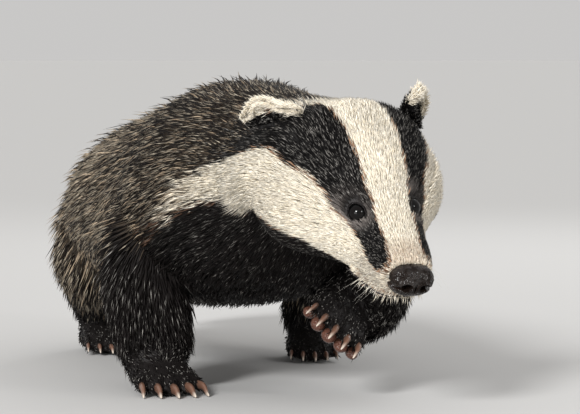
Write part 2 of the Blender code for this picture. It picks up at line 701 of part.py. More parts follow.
def part_by_funnel(whole, place, front_name):
    """Parts off what lies in front of a slanting cut and returns (front, rest), a gap apart."""
    front = copy_of(whole, front_name)
    boolean(front, [behind_cut(place, GAP / MM)], "DIFFERENCE", MANY_PIECES)
    boolean(whole, [behind_cut(place, 0.0)], "INTERSECT", MANY_PIECES)
    return front, whole


class LegBox:
    """An upright slab that a leg is cut out by, with a leaning top that follows the body's side."""

    def __init__(self, side, y_low, y_high, lean, inner, top):
        self.side, self.y_low, self.y_high = side, y_low, y_high
        self.lean, self.inner, self.top = math.radians(lean), inner, top

    def top_at(self, sideways, grown=0.0):
        return self.top + grown / math.cos(self.lean) + (sideways - self.inner) * math.tan(self.lean)

    def holds(self, point, margin=7.0):
        sideways = point[0] * self.side
        inside = sideways > self.inner - margin and point[2] < self.top_at(sideways, margin)
        return inside and self.y_low - margin < point[1] < self.y_high + margin

    def solid(self, grown):
        inner, outer = self.inner - grown, 260.0
        outline = [(inner, -60.0), (outer, -60.0), (outer, self.top_at(outer, grown)),
                   (inner, self.top_at(inner, grown))]
        ends = (self.y_low - grown, self.y_high + grown)
        corners = [(x * self.side, y, z) for y in ends for x, z in outline]
        faces = [(0, 1, 2, 3), (7, 6, 5, 4), (0, 4, 5, 1), (1, 5, 6, 2), (2, 6, 7, 3), (3, 7, 4, 0)]
        made = object_from("leg_box", np.array(corners) * MM, faces)
        face_outward(made)
        return made


# The first box of each leg takes the limb, and the second the paw where that reaches further
LEG_BOXES = {
    "foreleg_right": [LegBox(-1, -52, 56, 40, 44, 78), LegBox(-1, -140, 60, 0, 20, 40)],
    "foreleg_left": [LegBox(1, -62, 56, 40, 44, 78), LegBox(1, -230, -60, 18, 8, 75)],
    "hindleg_right": [LegBox(-1, 246, 372, 42, 56, 62), LegBox(-1, 140, 376, 0, 40, 40)],
    "hindleg_left": [LegBox(1, 192, 312, 42, 56, 62), LegBox(1, 80, 316, 0, 40, 40)],
}


def leg_cutter(name, grown):
    """The boxes of one leg, joined."""
    first, *others = [box.solid(grown) for box in LEG_BOXES[name]]
    return boolean(first, others, "UNION") if others else first


def body_core(share):
    """The whole trunk, neck and head as one loft, with closer rings on the head."""
    trunk = np.linspace(BODY.ring_at[0], BODY.ring_at[11], 19)
    head = np.linspace(BODY.ring_at[11], BODY.ring_at[-1], 17)[1:]
    along = np.concatenate([trunk, head])[:, None]
    angle = np.linspace(0, 2 * np.pi, 22, endpoint=False)[None, :]
    inset = np.where(along < BODY.ring_at[11], share, 0.0)
    fade = np.clip((along - BODY.ring_at[10]) / (BODY.ring_at[11] - BODY.ring_at[10]), 0, 1)
    inset = inset * (1 - fade)
    rings = BODY.points(along, angle, inset)
    return skinned("whole", rings)


def flatten_soles(obj):
    """Cuts away what lies below the ground, so that each standing foot has a flat sole."""
    ground = block("ground", (0, 0, REACH), (1, 0, 0), (0, 1, 0), (0, 0, 1), (REACH, REACH, REACH))
    boolean(obj, [ground], "INTERSECT", MANY_PIECES)


def finish_node(obj, name, slot):
    keep_largest(obj)
    obj.name = name
    obj.data.name = name
    obj.data.materials.clear()
    obj.data.materials.append(material(slot, *PALETTE[slot]))
    obj.data.shade_smooth()
    obj.data.set_sharp_from_angle(angle=math.radians(38))
    return obj


def build():
    remove(bpy.data.objects)
    clearances = [box for boxes in LEG_BOXES.values() for box in boxes]
    rng = random.Random(LOCK_SEED)

    # The whole animal in one piece
    whole = body_core(CORE_SHARE)
    pieces = [tail_core()]
    pieces += [limb("foreleg", FORELEG_RIGHT), limb("foreleg", FORELEG_LEFT)]
    pieces += [limb("hindleg", HINDLEG_RIGHT), limb("hindleg", HINDLEG_LEFT)]
    pieces += paw_pieces("paw_fr", PAW_FORE_RIGHT) + paw_pieces("paw_fl", PAW_FORE_LEFT)
    pieces += paw_pieces("paw_hr", PAW_HIND_RIGHT) + paw_pieces("paw_hl", PAW_HIND_LEFT)
    pieces += head_pieces()
    pieces += body_locks(rng, clearances) + tail_locks(rng)
    boolean(whole, pieces, "UNION", MANY_PIECES)
    flatten_soles(whole)
    boolean(whole, [mouth_groove()], "DIFFERENCE", MANY_PIECES)

    nodes = {}

    # Legs first, each by its own turned box
    for name in LEG_BOXES:
        leg = copy_of(whole, name)
        boolean(leg, [leg_cutter(name, 0.0)], "INTERSECT", MANY_PIECES)
        boolean(whole, [leg_cutter(name, GAP / MM)], "DIFFERENCE", MANY_PIECES)
        keep_largest(leg)
        nodes[name] = leg

    # Paws by a plane across each wrist or hock
    wrist_cuts = {
        "foreleg_right": ("forepaw_right", (-73, -16, 26), (0, 0, -1)),
        "foreleg_left": ("forepaw_left", (57, -70, 61), (-0.29, -0.94, -0.17)),
        "hindleg_right": ("hindpaw_right", (-79, 342, 26), (0, 0, -1)),
        "hindleg_left": ("hindpaw_left", (80, 246, 26), (0, 0, -1)),
    }
    for leg_name, (paw_name, point, normal) in wrist_cuts.items():
        down = unit(normal)
        side_way = unit(np.cross(down, [0.0, 1.0, 0.2]))
        third = np.cross(side_way, down)
        paw = copy_of(nodes[leg_name], paw_name)
        half = (REACH, REACH, REACH)
        beyond = np.array(point) + down * (REACH + GAP / MM / 2)
        above = np.array(point) - down * (REACH + GAP / MM / 2)
        boolean(paw, [block("beyond", beyond, side_way, down, third, half)], "INTERSECT")
        boolean(nodes[leg_name], [block("above", above, side_way, down, third, half)], "INTERSECT")
        nodes[paw_name] = paw

    # Head, neck, shoulders, barrel, rump and tail by cuts across the body
    nodes["head"], rest = part_by_plane(whole, HEAD_CUT, "head")
    nodes["neck"], rest = part_by_funnel(rest, NECK_CUT, "neck")
    nodes["shoulders"], rest = part_by_funnel(rest, SHOULDER_CUT, "shoulders")
    nodes["barrel"], rest = part_by_funnel(rest, BARREL_CUT, "barrel")
    nodes["tail"] = copy_of(rest, "tail")
    boolean(nodes["tail"], [tail_region(0.0)], "INTERSECT", MANY_PIECES)
    nodes["rump"] = boolean(rest, [tail_region(GAP / MM)], "DIFFERENCE", MANY_PIECES)

    # Eyes, ears and nose are pieces of their own, set into the head
    keep_largest(nodes["head"])
    for side, hand in ((1, "right"), (-1, "left")):
        along, upward, out = eye_axes(side)
        socket = ball("socket", eye_centre(side), [EYE_RADIUS + GAP / MM] * 3, (along, upward, out), 16, 10)
        boolean(nodes["head"], [socket], "DIFFERENCE")
        nodes["eye_" + hand] = ball("eye", eye_centre(side), [EYE_RADIUS] * 3, (along, upward, out), 14, 8)
        ear_node = ear("ear_" + hand, side)
        near = [copy_of(nodes[key], "clearance", GAP / MM) for key in ("head", "neck")]
        boolean(ear_node, near, "DIFFERENCE")
        nodes["ear_" + hand] = ear_node
    nose_node = nose()
    boolean(nose_node, [copy_of(nodes["head"], "clearance", GAP / MM)], "DIFFERENCE")
    nodes["nose"] = nose_node

    slots = {"head": "face_fur", "nose": "nose_leather", "tail": "grey_coat", "neck": "grey_coat",
             "shoulders": "grey_coat", "barrel": "grey_coat", "rump": "grey_coat"}
    for name, obj in nodes.items():
        kind = name.split("_")[0]
        slot = slots.get(name, {"ear": "ear_fur", "eye": "eye_gloss"}.get(kind, "black_fur"))
        finish_node(obj, name, slot)
    centre_over_origin(list(nodes.values()))
    gather(list(nodes.values()))


def centre_over_origin(objects):
    """Slides the animal so that the middle of its box is over the origin."""
    corners = np.array([v.co for obj in objects for v in obj.data.vertices])
    middle = (corners.min(0) + corners.max(0)) / 2
    for obj in objects:
        obj.data.transform(Matrix.Translation((-middle[0], -middle[1], 0.0)))


def gather(objects):
    badger = bpy.data.collections.new("european_badger")
    bpy.context.scene.collection.children.link(badger)
    for obj in objects:
        for holder in list(obj.users_collection):
            holder.objects.unlink(obj)
        badger.objects.link(obj)


build()
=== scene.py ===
import math

import bpy
import numpy as np
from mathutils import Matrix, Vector


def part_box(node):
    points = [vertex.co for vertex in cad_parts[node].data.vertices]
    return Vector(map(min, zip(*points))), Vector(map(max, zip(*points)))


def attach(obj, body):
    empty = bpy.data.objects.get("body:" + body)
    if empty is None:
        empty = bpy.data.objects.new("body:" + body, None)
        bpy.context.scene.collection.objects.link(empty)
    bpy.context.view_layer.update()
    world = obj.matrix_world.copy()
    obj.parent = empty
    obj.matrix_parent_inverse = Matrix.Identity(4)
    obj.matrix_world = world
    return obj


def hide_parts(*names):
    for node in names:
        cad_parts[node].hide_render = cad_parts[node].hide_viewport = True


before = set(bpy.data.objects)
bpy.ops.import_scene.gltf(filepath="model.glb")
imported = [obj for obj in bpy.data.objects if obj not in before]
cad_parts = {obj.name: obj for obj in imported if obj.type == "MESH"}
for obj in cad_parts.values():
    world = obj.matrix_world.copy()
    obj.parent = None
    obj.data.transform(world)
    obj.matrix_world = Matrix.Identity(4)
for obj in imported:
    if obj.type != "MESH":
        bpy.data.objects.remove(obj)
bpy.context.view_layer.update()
mm = 0.001

# Every size below is in millimetres, in the animal's own frame: +x to its left, -y ahead, +z up.


def unit(v):
    v = np.asarray(v, float)
    return v / np.maximum(np.linalg.norm(v, axis=-1, keepdims=True), 1e-9)


def facing(yaw, pitch, roll):
    # right, forward and up of something that looks along -y at zero yaw, turned, tipped, then rolled
    yaw, pitch, roll = (np.radians(np.asarray(a, float)) for a in (yaw, pitch, roll))
    forward = np.stack([np.sin(yaw) * np.cos(pitch), -np.cos(yaw) * np.cos(pitch), np.sin(pitch)], -1)
    level = np.stack([-np.cos(yaw), -np.sin(yaw), np.zeros_like(yaw)], -1)
    above = np.cross(level, forward)
    right = level * np.cos(roll)[..., None] - above * np.sin(roll)[..., None]
    return right, forward, np.cross(right, forward)


def smooth(low, high, x):
    # 0 below low and 1 above high, with an s-curve between them
    t = np.clip((x - low) / (high - low), 0, 1)
    return t * t * (3 - 2 * t)


def curveThrough(points, count):
    # Catmull-Rom: between two points, a cubic whose slopes come from their neighbours
    rows = np.asarray(points, float)
    last = len(rows) - 1
    where = np.linspace(0, last, count)
    row = np.clip(np.floor(where).astype(int), 0, last - 1)
    t = (where - row)[:, None]
    before, after = rows[np.maximum(row - 1, 0)], rows[np.minimum(row + 2, last)]
    a, b = rows[row], rows[row + 1]
    return 0.5 * (2 * a + (b - before) * t + (2 * before - 5 * a + 4 * b - after) * t**2
                  + (3 * a - before - 3 * b + after) * t**3)


# Head
head = dict(origin=(25.6, -151.0, 175.0), yaw=20.0, pitch=-32.7, roll=4.7, noseReach=152.0)
eye = dict(place=(20.0, 94.2, 18.6), outward=(0.60, 0.54, 0.59), radius=6.8, pupilEdge=(17, 20),
           irisEdge=(34, 40), brow=(15, 8, 5.4))
headOrigin = np.array(head["origin"])
headRight, headForward, headUp = facing(head["yaw"], head["pitch"], head["roll"])


def inHead(right, forward, up):
    # a point of the head from how far right, forward and up it is
    right, forward, up = np.broadcast_arrays(right, forward, up)
    return (headOrigin + right[..., None] * headRight + forward[..., None] * headForward
            + up[..., None] * headUp)


def toHead(points):
    # right, forward and up of points, measured in the head
    away = points - headOrigin
    return away @ headRight, away @ headForward, away @ headUp


# The frame's eye ball says where the animal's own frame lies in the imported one
eyeLow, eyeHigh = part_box("eye_right")
shift = (np.array(eyeLow) + np.array(eyeHigh)) / 2 / mm - inHead(*eye["place"])

# Trunk rings from the tail's root to the nose: x y z, yaw pitch roll, half width, rise, drop, coat
# depth. Head rings are given in the head: forward, centre up, half width, rise, drop, coat.
trunkRings = [
    (-6, 404, 146, 0, 0, 0, 20, 16, 20, 14),
    (-6, 391, 138, 0, 0, 0, 57, 42, 48, 22),
    (-6, 358, 124, 0, 0, 0, 89, 68, 66, 26),
    (-5, 310, 114, 0, 0, 0, 107, 85, 65, 28),
    (-4, 250, 113, 0, 0, 0, 112, 91, 63, 28),
    (-2, 180, 115, 0, 0, 0, 110, 94, 63, 28),
    (0, 110, 119, 0, 0, 0, 104, 100, 62, 26),
    (0, 45, 124, 0, 0, 0, 99, 103, 62, 24),
    (0, -5, 127, 3, 0, 0, 96, 100, 61, 21),
    (5, -55, 134, 8, -4, 1, 86, 88, 59, 18),
    (14, -102, 145, 13, -12, 2, 75, 74, 58, 15),
    (23, -141, 158, 17, -23, 4, 70, 62, 56, 12),
]
headRings = [
    (20, 2, 69, 58, 52, 9),
    (42, -2, 69, 58, 44, 7),
    (60, -5, 66, 54, 37, 6),
    (80, -2, 49, 39.5, 31, 5),
    (97, 1, 34, 27, 29, 4),
    (112, 0, 27.5, 21.5, 26, 3),
    (126, -1, 24.5, 18, 22.5, 3),
    (137, -2, 20.5, 14.5, 17.5, 2),
    (142.5, -2.5, 15.5, 10.5, 12.5, 2),
]
headAngles = (head["yaw"], head["pitch"], head["roll"])
bodyTable = curveThrough(
    trunkRings + [(*inHead(0, f, c), *headAngles, w, r, d, k) for f, c, w, r, d, k in headRings], 600)
bodyAlong = np.concatenate([[0], np.cumsum(np.linalg.norm(np.diff(bodyTable[:, :3], axis=0), axis=1))])
ringCount = len(trunkRings) + len(headRings)
ringAlong = np.interp(np.arange(ringCount), np.linspace(0, ringCount - 1, 600), bodyAlong)
bodyEnd = bodyAlong[-1]


def bodyRow(along):
    return [np.interp(along, bodyAlong, column) for column in bodyTable.T]


def bellyThinning(angle):
    return 1 - 0.75 * smooth(0.35, 0.80, -np.cos(angle))


def bodyPoint(along, angle, share):
    # centre, plus the half width times sine sideways, plus the rise or drop times cosine upwards, each
    # less the coat's depth times the share: 0 at the tips of the coat, 1 at its roots on a bare skin
    along, angle, share = np.broadcast_arrays(along, angle, share)
    x, y, z, yaw, pitch, roll, halfWidth, rise, drop, coatDepth = bodyRow(along)
    inset = coatDepth * share * bellyThinning(angle)
    right, _, up = facing(yaw, pitch, roll)
    height = np.where(np.cos(angle) > 0, rise, drop) - inset
    return (np.stack([x, y, z], -1) + ((halfWidth - inset) * np.sin(angle))[..., None] * right
            + (height * np.cos(angle))[..., None] * up)


def skinShare(along):
    # on the trunk the skin lies half way down the coat, on the head a whole coat's depth down
    return 0.52 + 0.42 * smooth(ringAlong[10], ringAlong[12], along)


def bodyAddress(points):
    # the nearest cross-section gives along, and its own axes give the angle and how far out, 1 at the tips
    stations = np.linspace(0, bodyEnd, 260)
    x, y, z, yaw, pitch, roll, halfWidth, rise, drop, _ = bodyRow(stations)
    right, forward, up = facing(yaw, pitch, roll)
    centre = np.stack([x, y, z], -1)
    alongs, angles, ratios = [], [], []
    for part in np.array_split(points, max(1, len(points) // 20000)):
        ahead = part @ forward.T - (centre * forward).sum(1)
        away = np.linalg.norm(part[:, None] - centre[None], axis=2)
        best = np.argmin(np.abs(ahead) + 0.08 * away, 1)
        rows = np.arange(len(part))
        alongs.append(np.clip(stations[best] + ahead[rows, best], 0, bodyEnd))
        sideways = ((part - centre[best]) * right[best]).sum(1) / halfWidth[best]
        upward = ((part - centre[best]) * up[best]).sum(1)
        upward = upward / np.where(upward > 0, rise[best], drop[best])
        angles.append(np.arctan2(sideways, upward))
        ratios.append(np.hypot(sideways, upward))
    return np.concatenate(alongs), np.concatenate(angles), np.concatenate(ratios)


# Limbs: points down the limb with the half width and half depth there, fur depth, then the paw: wrist,
# reach, way across, length, half width, half depth, toe length, toe radius, claw length
limbs = {
    "foreRight": dict(
        points=[(-60, 4, 148), (-70, 12, 112), (-76, 8, 84), (-76, -2, 58), (-74, -11, 34), (-73, -16, 16)],
        widths=[26, 33, 33, 31, 28, 24], depths=[42, 42, 36, 31, 27, 22],
        wrist=(-73, -13, 15.2), reach=(0.10, -0.98, -0.18), across=(-0.99, -0.10, 0.0), length=43,
        halfWidth=26, halfDepth=13.5, toe=17, toeRadius=6.2, claw=24, lifted=False),
    "foreLeft": dict(
        points=[(58, 6, 150), (70, 12, 116), (82, -2, 88), (79, -30, 72), (69, -53, 63), (59, -70, 60)],
        widths=[26, 32, 32, 31, 29, 25], depths=[42, 40, 35, 32, 28, 23],
        wrist=(56, -71, 60), reach=(-0.287, -0.943, -0.165), across=(0.72, -0.10, -0.68), length=40,
        halfWidth=25, halfDepth=13, toe=17, toeRadius=6.2, claw=19, lifted=True),
    "hindRight": dict(
        points=[(-60, 296, 138), (-76, 298, 106), (-86, 300, 80), (-84, 322, 56), (-80, 340, 36),
                (-79, 343, 16)],
        widths=[36, 38, 32, 25, 20, 16], depths=[50, 48, 39, 29, 22, 17],
        wrist=(-79, 340, 12.5), reach=(0.06, -0.99, -0.1), across=(-0.99, -0.06, 0.0), length=53,
        halfWidth=21, halfDepth=12.5, toe=14, toeRadius=5.4, claw=13, lifted=False),
    "hindLeft": dict(
        points=[(60, 272, 138), (74, 258, 106), (85, 240, 80), (84, 240, 56), (81, 248, 34), (80, 246, 16)],
        widths=[36, 38, 32, 25, 20, 16], depths=[50, 50, 39, 29, 22, 17],
        wrist=(80, 243, 12.5), reach=(-0.06, -0.99, -0.1), across=(0.99, -0.06, 0.0), length=53,
        halfWidth=21, halfDepth=12.5, toe=14, toeRadius=5.4, claw=13, lifted=False),
}
paw = dict(toePlaces=(-0.84, -0.44, 0.0, 0.44, 0.84), toeReaches=(-0.2, 0.02, 0.1, 0.03, -0.14),
           toeSizes=(0.84, 1.0, 1.03, 1.0, 0.9), fur=2.2, widths=(0.72, 0.88, 0.97, 1.0, 0.84),
           depths=(1.0, 1.0, 0.96, 0.84, 0.6))
# half sizes of the pads and of the flesh under the palm's, and where that lies from the wrist
pad = dict(toe=(5.5, 7.8, 4.8), palm=(16.4, 9.6, 5.6), palmBed=(16, 9.5, 5.6), palmPlace=0.62, palmDrop=0.66)
limbFur = 5.0


def tubeRings(path, widths, heights, sides, upward=(0, 0, 1)):
    # rings round a path: the side way times the width and cosine, the up way times the height and sine
    path = np.asarray(path, float)
    heading = unit(np.gradient(path, axis=0))
    sideWay = unit(np.cross(heading, np.asarray(upward, float)))
    upWay = np.cross(sideWay, heading)
    angle = np.linspace(0, 2 * np.pi, sides, endpoint=False)
    widths, heights = np.asarray(widths, float), np.asarray(heights, float)
    return (path[:, None] + (widths[:, None] * np.cos(angle))[..., None] * sideWay[:, None]
            + (heights[:, None] * np.sin(angle))[..., None] * upWay[:, None])


def limbFrame(limb, count):
    # the limb's centre line with its side way, fore way, half width and half depth at each point
    path = curveThrough(limb["points"], count)
    spread = np.linspace(0, len(limb["points"]) - 1, count)
    widths = np.interp(spread, range(len(limb["widths"])), limb["widths"])
    depths = np.interp(spread, range(len(limb["depths"])), limb["depths"])
    heading = unit(np.gradient(path, axis=0))
    if abs(heading[-1][2]) > 0.5:
        sideWay = unit(np.cross(heading, [0, -1, 0.001]))
    else:
        sideWay = unit(np.cross(heading, [0, 0, 1]))
    return path, heading, sideWay, np.cross(heading, sideWay), widths, depths


def limbPoint(limb, down, angle, inset):
    # the centre line, plus half width times cosine sideways, plus half depth times sine fore and aft
    path, _, sideWay, foreWay, widths, depths = limbFrame(limb, 81)
    down, angle, inset = np.broadcast_arrays(down, angle, inset)
    at = np.clip(down, 0, 1) * 80
    pick = lambda rows: np.stack([np.interp(at, range(81), column) for column in rows.T], -1)
    wide = np.interp(at, range(81), widths) - inset
    deep = np.interp(at, range(81), depths) - inset
    return (pick(path) + (wide * np.cos(angle))[..., None] * pick(sideWay)
            + (deep * np.sin(angle))[..., None] * pick(foreWay))


def limbAddress(limb, points):
    # how far down the limb a point is, 0 to 1, and how far out, 1 on its surface
    path, heading, sideWay, foreWay, widths, depths = limbFrame(limb, 61)
    away = points[:, None] - path[None]
    ahead = np.abs((away * heading[None]).sum(2))
    best = np.argmin(ahead + 0.25 * np.linalg.norm(away, axis=2), 1)
    near = points - path[best]
    sideways = (near * sideWay[best]).sum(1) / widths[best]
    foreward = (near * foreWay[best]).sum(1) / depths[best]
    beyond = np.abs((near * heading[best]).sum(1)) / widths[best]
    return best / 60.0, np.sqrt(sideways**2 + foreward**2 + beyond**2)


def pawAxes(limb):
    reach, across = unit(limb["reach"]), unit(limb["across"])
    across = unit(across - reach * (across @ reach))
    palmWay = np.cross(across, reach)
    return reach, across, -palmWay if palmWay[2] > 0 else palmWay


def toeLines(limb):
    # for each toe: its centre line, the way it points, its radius, and the claw's three guide points
    reach, across, palmWay = pawAxes(limb)
    wrist = np.array(limb["wrist"], float)
    made = []
    for place, further, size in zip(paw["toePlaces"], paw["toeReaches"], paw["toeSizes"]):
        start = (wrist + reach * limb["length"] * (0.82 + further * 0.8)
                 + across * limb["halfWidth"] * place * 0.86)
        way = unit(reach + across * place * 0.16)
        radius = limb["toeRadius"] * size
        knuckle = start + way * limb["toe"] * 0.55 - palmWay * 1.2
        tip = start + way * limb["toe"] * 1.2 + palmWay * 2.2
        base = tip - way * 3.5 - palmWay * radius * 0.4
        bow = base + way * limb["claw"] * 0.5 - palmWay * limb["claw"] * 0.06
        point = base + way * limb["claw"] * 0.92 + palmWay * limb["claw"] * 0.2
        made.append(dict(line=[start - way * 6, knuckle, tip], way=way, radius=radius, size=size,
                         claw=[base, bow, point], tip=tip))
    return made


# Meshes
def finish(obj, material):
    obj.data.materials.clear()
    obj.data.materials.append(material)
    obj.data.shade_smooth()
    return obj


def meshFrom(name, points, faces):
    mesh = bpy.data.meshes.new(name)
    mesh.from_pydata(((np.asarray(points) + shift) * mm).tolist(), [], faces)
    mesh.update()
    obj = bpy.data.objects.new(name, mesh)
    bpy.context.scene.collection.objects.link(obj)
    return obj


def ringFaces(rings, sides, first=0, closed=False):
    # quads between neighbouring rings, wound so that they face outwards from the path
    r, c = np.meshgrid(np.arange(rings if closed else rings - 1), np.arange(sides), indexing="ij")
    after = (r + 1) % rings
    side = (c + 1) % sides
    quads = np.stack([r * sides + c, r * sides + side, after * sides + side, after * sides + c], -1)
    return (quads.reshape(-1, 4) + first).tolist()


def shell(rings, start=None, end=None, first=0):
    # points and faces of a closed solid over rings, with a pole at each end
    rings = np.asarray(rings, float)
    count, sides, _ = rings.shape
    start = rings[0].mean(0) if start is None else start
    end = rings[-1].mean(0) if end is None else end
    faces = ringFaces(count, sides, first)
    near, far, top = first + count * sides, first + count * sides + 1, first + (count - 1) * sides
    faces += [(near, first + (k + 1) % sides, first + k) for k in range(sides)]
    faces += [(far, top + k, top + (k + 1) % sides) for k in range(sides)]
    return np.concatenate([rings.reshape(-1, 3), [start], [end]]), faces


def joined(name, shells):
    # several closed solids, each given by its rings and poles, as one mesh
    points, faces, first = [], [], 0
    for rings, start, end in shells:
        p, f = shell(rings, start, end, first)
        points.append(p)
        faces += f
        first += len(p)
    obj = meshFrom(name, np.concatenate(points), faces)
    turnOut(obj)
    return obj


def turnOut(obj):
    # every closed shell faces outwards
    bpy.context.view_layer.objects.active = obj
    obj.select_set(True)
    bpy.ops.object.mode_set(mode="EDIT")
    bpy.ops.mesh.select_all(action="SELECT")
    bpy.ops.mesh.normals_make_consistent(inside=False)
    bpy.ops.object.mode_set(mode="OBJECT")
    obj.select_set(False)


def ovoidRings(centre, radii, axes, sides=24, rings=14):
    # a ball squeezed to three radii: cosine of the latitude round it, sine of it along the third axis
    latitude = np.linspace(-np.pi / 2, np.pi / 2, rings + 2)[1:-1, None]
    turn = np.linspace(0, 2 * np.pi, sides, endpoint=False)[None, :]
    a, b, c = (np.asarray(v, float) for v in axes)
    rings = (np.asarray(centre, float) + (radii[0] * np.cos(latitude) * np.cos(turn))[..., None] * a
             + (radii[1] * np.cos(latitude) * np.sin(turn))[..., None] * b
             + (radii[2] * np.sin(latitude) + 0 * turn)[..., None] * c)
    return rings, np.asarray(centre) - radii[2] * c, np.asarray(centre) + radii[2] * c


def applyModifiers(obj):
    # the mesh as its modifiers leave it becomes the object's own
    graph = bpy.context.evaluated_depsgraph_get()
    made = bpy.data.meshes.new_from_object(obj.evaluated_get(graph))
    old = obj.data
    obj.modifiers.clear()
    obj.data = made
    made.name = obj.name
    bpy.data.meshes.remove(old)


def pointsOf(obj):
    # the mesh's points, back in the animal's own frame
    flat = np.empty(len(obj.data.vertices) * 3)
    obj.data.vertices.foreach_get("co", flat)
    return flat.reshape(-1, 3) / mm - shift


def setColour(obj, name, colours):
    layer = obj.data.attributes.new(name, "FLOAT_COLOR", "POINT")
    rgba = np.concatenate([colours, np.ones((len(colours), 1))], 1)
    layer.data.foreach_set("color", rgba.astype(np.float32).ravel())


# Ears: a base line from front to rear, the way each ear stands out, and its height
ear = dict(front={1: (35, 22, 51), -1: (48, 16, 42)}, rear={1: (65, 3, 34), -1: (69, 8, 20)},
           out={1: (0.64, -0.42, 0.60), -1: (0.10, -0.10, 0.98)}, height={1: 14.5, -1: 25.5},
           bow={1: 9.0, -1: 5.5}, taper={1: 0.30, -1: 0.48}, skin=2.4, low=-0.9)


def earPoint(side, height, across):
    # base line plus height times the outline's sine along the way out, bowed into a cup by a parabola
    front, rear = (np.array(ear[end][side], float) for end in ("front", "rear"))
    out = unit(ear["out"][side])
    hollow = unit(np.cross(rear - front, out))
    height, across = np.broadcast_arrays(height, across)
    risen = np.clip(height, 0, 1)
    outline = np.sin(np.pi * np.clip(0.13 + 0.74 * across, 0, 1)) ** 0.55
    along = 0.5 + (across - 0.5) * (1 - ear["taper"][side] * risen**2) * (1 + 0.12 * np.sin(np.pi * risen))
    bow = ear["bow"][side] * (1 - (2 * across - 1) ** 2) - 5.0 * risen**2
    tall = ear["height"][side] * height * outline
    local = front + (rear - front) * along[..., None] + out * tall[..., None] + hollow * bow[..., None]
    return inHead(local[..., 0] * side, local[..., 1], local[..., 2])


def earNormal(side, height, across):
    # square to the flap, towards the side that the cup opens to
    step = 0.02
    down = earPoint(side, height + step, across) - earPoint(side, height - step, across)
    over = earPoint(side, height, across + step) - earPoint(side, height, across - step)
    normal = unit(np.cross(over, down))
    middle = earPoint(side, np.array(0.5), np.array(0.5))
    ends = (earPoint(side, np.array(0.5), np.array(0.0)) + earPoint(side, np.array(0.5), np.array(1.0))) / 2
    inward = unit(ends - middle)
    return normal * np.sign((normal * inward).sum(-1, keepdims=True) + 1e-9)


def earRings(side, thickness):
    # the flap as a closed solid: each ring runs up the outer face and back down the inner one
    across = np.concatenate([np.linspace(0.0, 1, 30), np.linspace(1, 0.0, 30)])[None, :]
    sign = np.concatenate([np.full(30, -0.5), np.full(30, 0.5)])[None, :]
    edge = np.sin(np.pi * np.clip(across, 0.0, 1)) ** 0.4
    height = np.linspace(ear["low"], 0.985, 26)[:, None]
    thick = thickness * edge * np.sqrt(np.clip(1.02 - np.clip(height, 0, 1) ** 6, 0, 1))
    return earPoint(side, height, across) + earNormal(side, height, across) * (sign * thick)[..., None]


# The skin
def skinShells():
    along = np.linspace(0, bodyEnd, 110)[:, None]
    angle = np.linspace(0, 2 * np.pi, 72, endpoint=False)[None, :]
    shells = [(bodyPoint(along, angle, skinShare(along)), None, None)]
    for limb in limbs.values():
        down = np.linspace(0, 1, 30)[:, None]
        turn = np.linspace(0, 2 * np.pi, 40, endpoint=False)[None, :]
        shells.append((limbPoint(limb, down, turn, limbFur * (1 - 0.5 * down)), None, None))
        reach, across, palmWay = pawAxes(limb)
        wrist = np.array(limb["wrist"], float)
        path = curveThrough(wrist + reach * (limb["length"] * np.linspace(-0.25, 0.95, 5))[:, None], 14)
        spread = np.linspace(0, 4, 14)
        widths = limb["halfWidth"] * np.interp(spread, range(5), paw["widths"]) - paw["fur"]
        depths = limb["halfDepth"] * np.interp(spread, range(5), paw["depths"]) - paw["fur"] * 0.5
        shells.append((tubeRings(path, widths, depths, 32, -palmWay), None, None))
        for toe in toeLines(limb):
            line = curveThrough(toe["line"], 12)
            fat = np.interp(np.linspace(0, 2, 12), range(3), [0.9, 1.0, 0.76]) * toe["radius"] - 1.0
            tip = line[-1] + toe["way"] * 3.0
            shells.append((tubeRings(line, fat, fat * 1.04, 18, -palmWay), None, tip))
        if limb["lifted"]:
            middle = (wrist + reach * limb["length"] * pad["palmPlace"]
                      + palmWay * limb["halfDepth"] * pad["palmDrop"])
            shells.append(ovoidRings(middle, pad["palmBed"], (across, reach, palmWay)))
    tail = curveThrough(tailShape["spine"], 30)
    wide = np.interp(np.linspace(0, 4, 30), range(5), tailShape["widths"]) * 0.9
    shells.append((tubeRings(tail, wide, wide * 0.85, 24), None, None))
    for side in (1, -1):
        shells.append((earRings(side, ear["skin"]), None, None))
        along, upward, out = eyeAxes(side)
        brow = eyeCentre(side) + headUp * 3.5 - headForward * 7 - out * 2.2
        shells.append(ovoidRings(brow, eye["brow"], (along, upward, out)))
    fat = np.sin(np.linspace(0.2, np.pi - 0.2, 50)) ** 0.5
    shells.append((tubeRings(lipLine(50), 2.5 * fat, 2.2 * fat, 14, headUp), None, None))
    return shells


tailShape = dict(spine=[(-6, 386, 152), (-6, 410, 147), (-5, 440, 128), (-4, 468, 104), (-3, 492, 80)],
                 widths=[13, 12, 11, 9, 5])
lips = dict(line=[(0, 142.0, -16.0), (9, 140.5, -16.2), (16, 136, -16.2), (20.8, 127, -16.0),
                  (23.6, 116, -15.6), (26.0, 107, -15.2)])


def lipLine(count):
    # the lips from one corner of the mouth, round the front, to the other
    rightSide = np.array(lips["line"], float)
    leftSide = rightSide[:0:-1] * [-1, 1, 1]
    line = curveThrough(np.concatenate([leftSide, rightSide]), count)
    return inHead(line[:, 0], line[:, 1], line[:, 2])


def eyeAxes(side):
    out = unit(np.array(eye["outward"]) * [side, 1, 1])
    out = out[0] * headRight + out[1] * headForward + out[2] * headUp
    along = unit(headForward - out * (headForward @ out))
    return along, np.cross(out, along), out


def eyeCentre(side):
    right, forward, up = eye["place"]
    return inHead(side * right, forward, up)


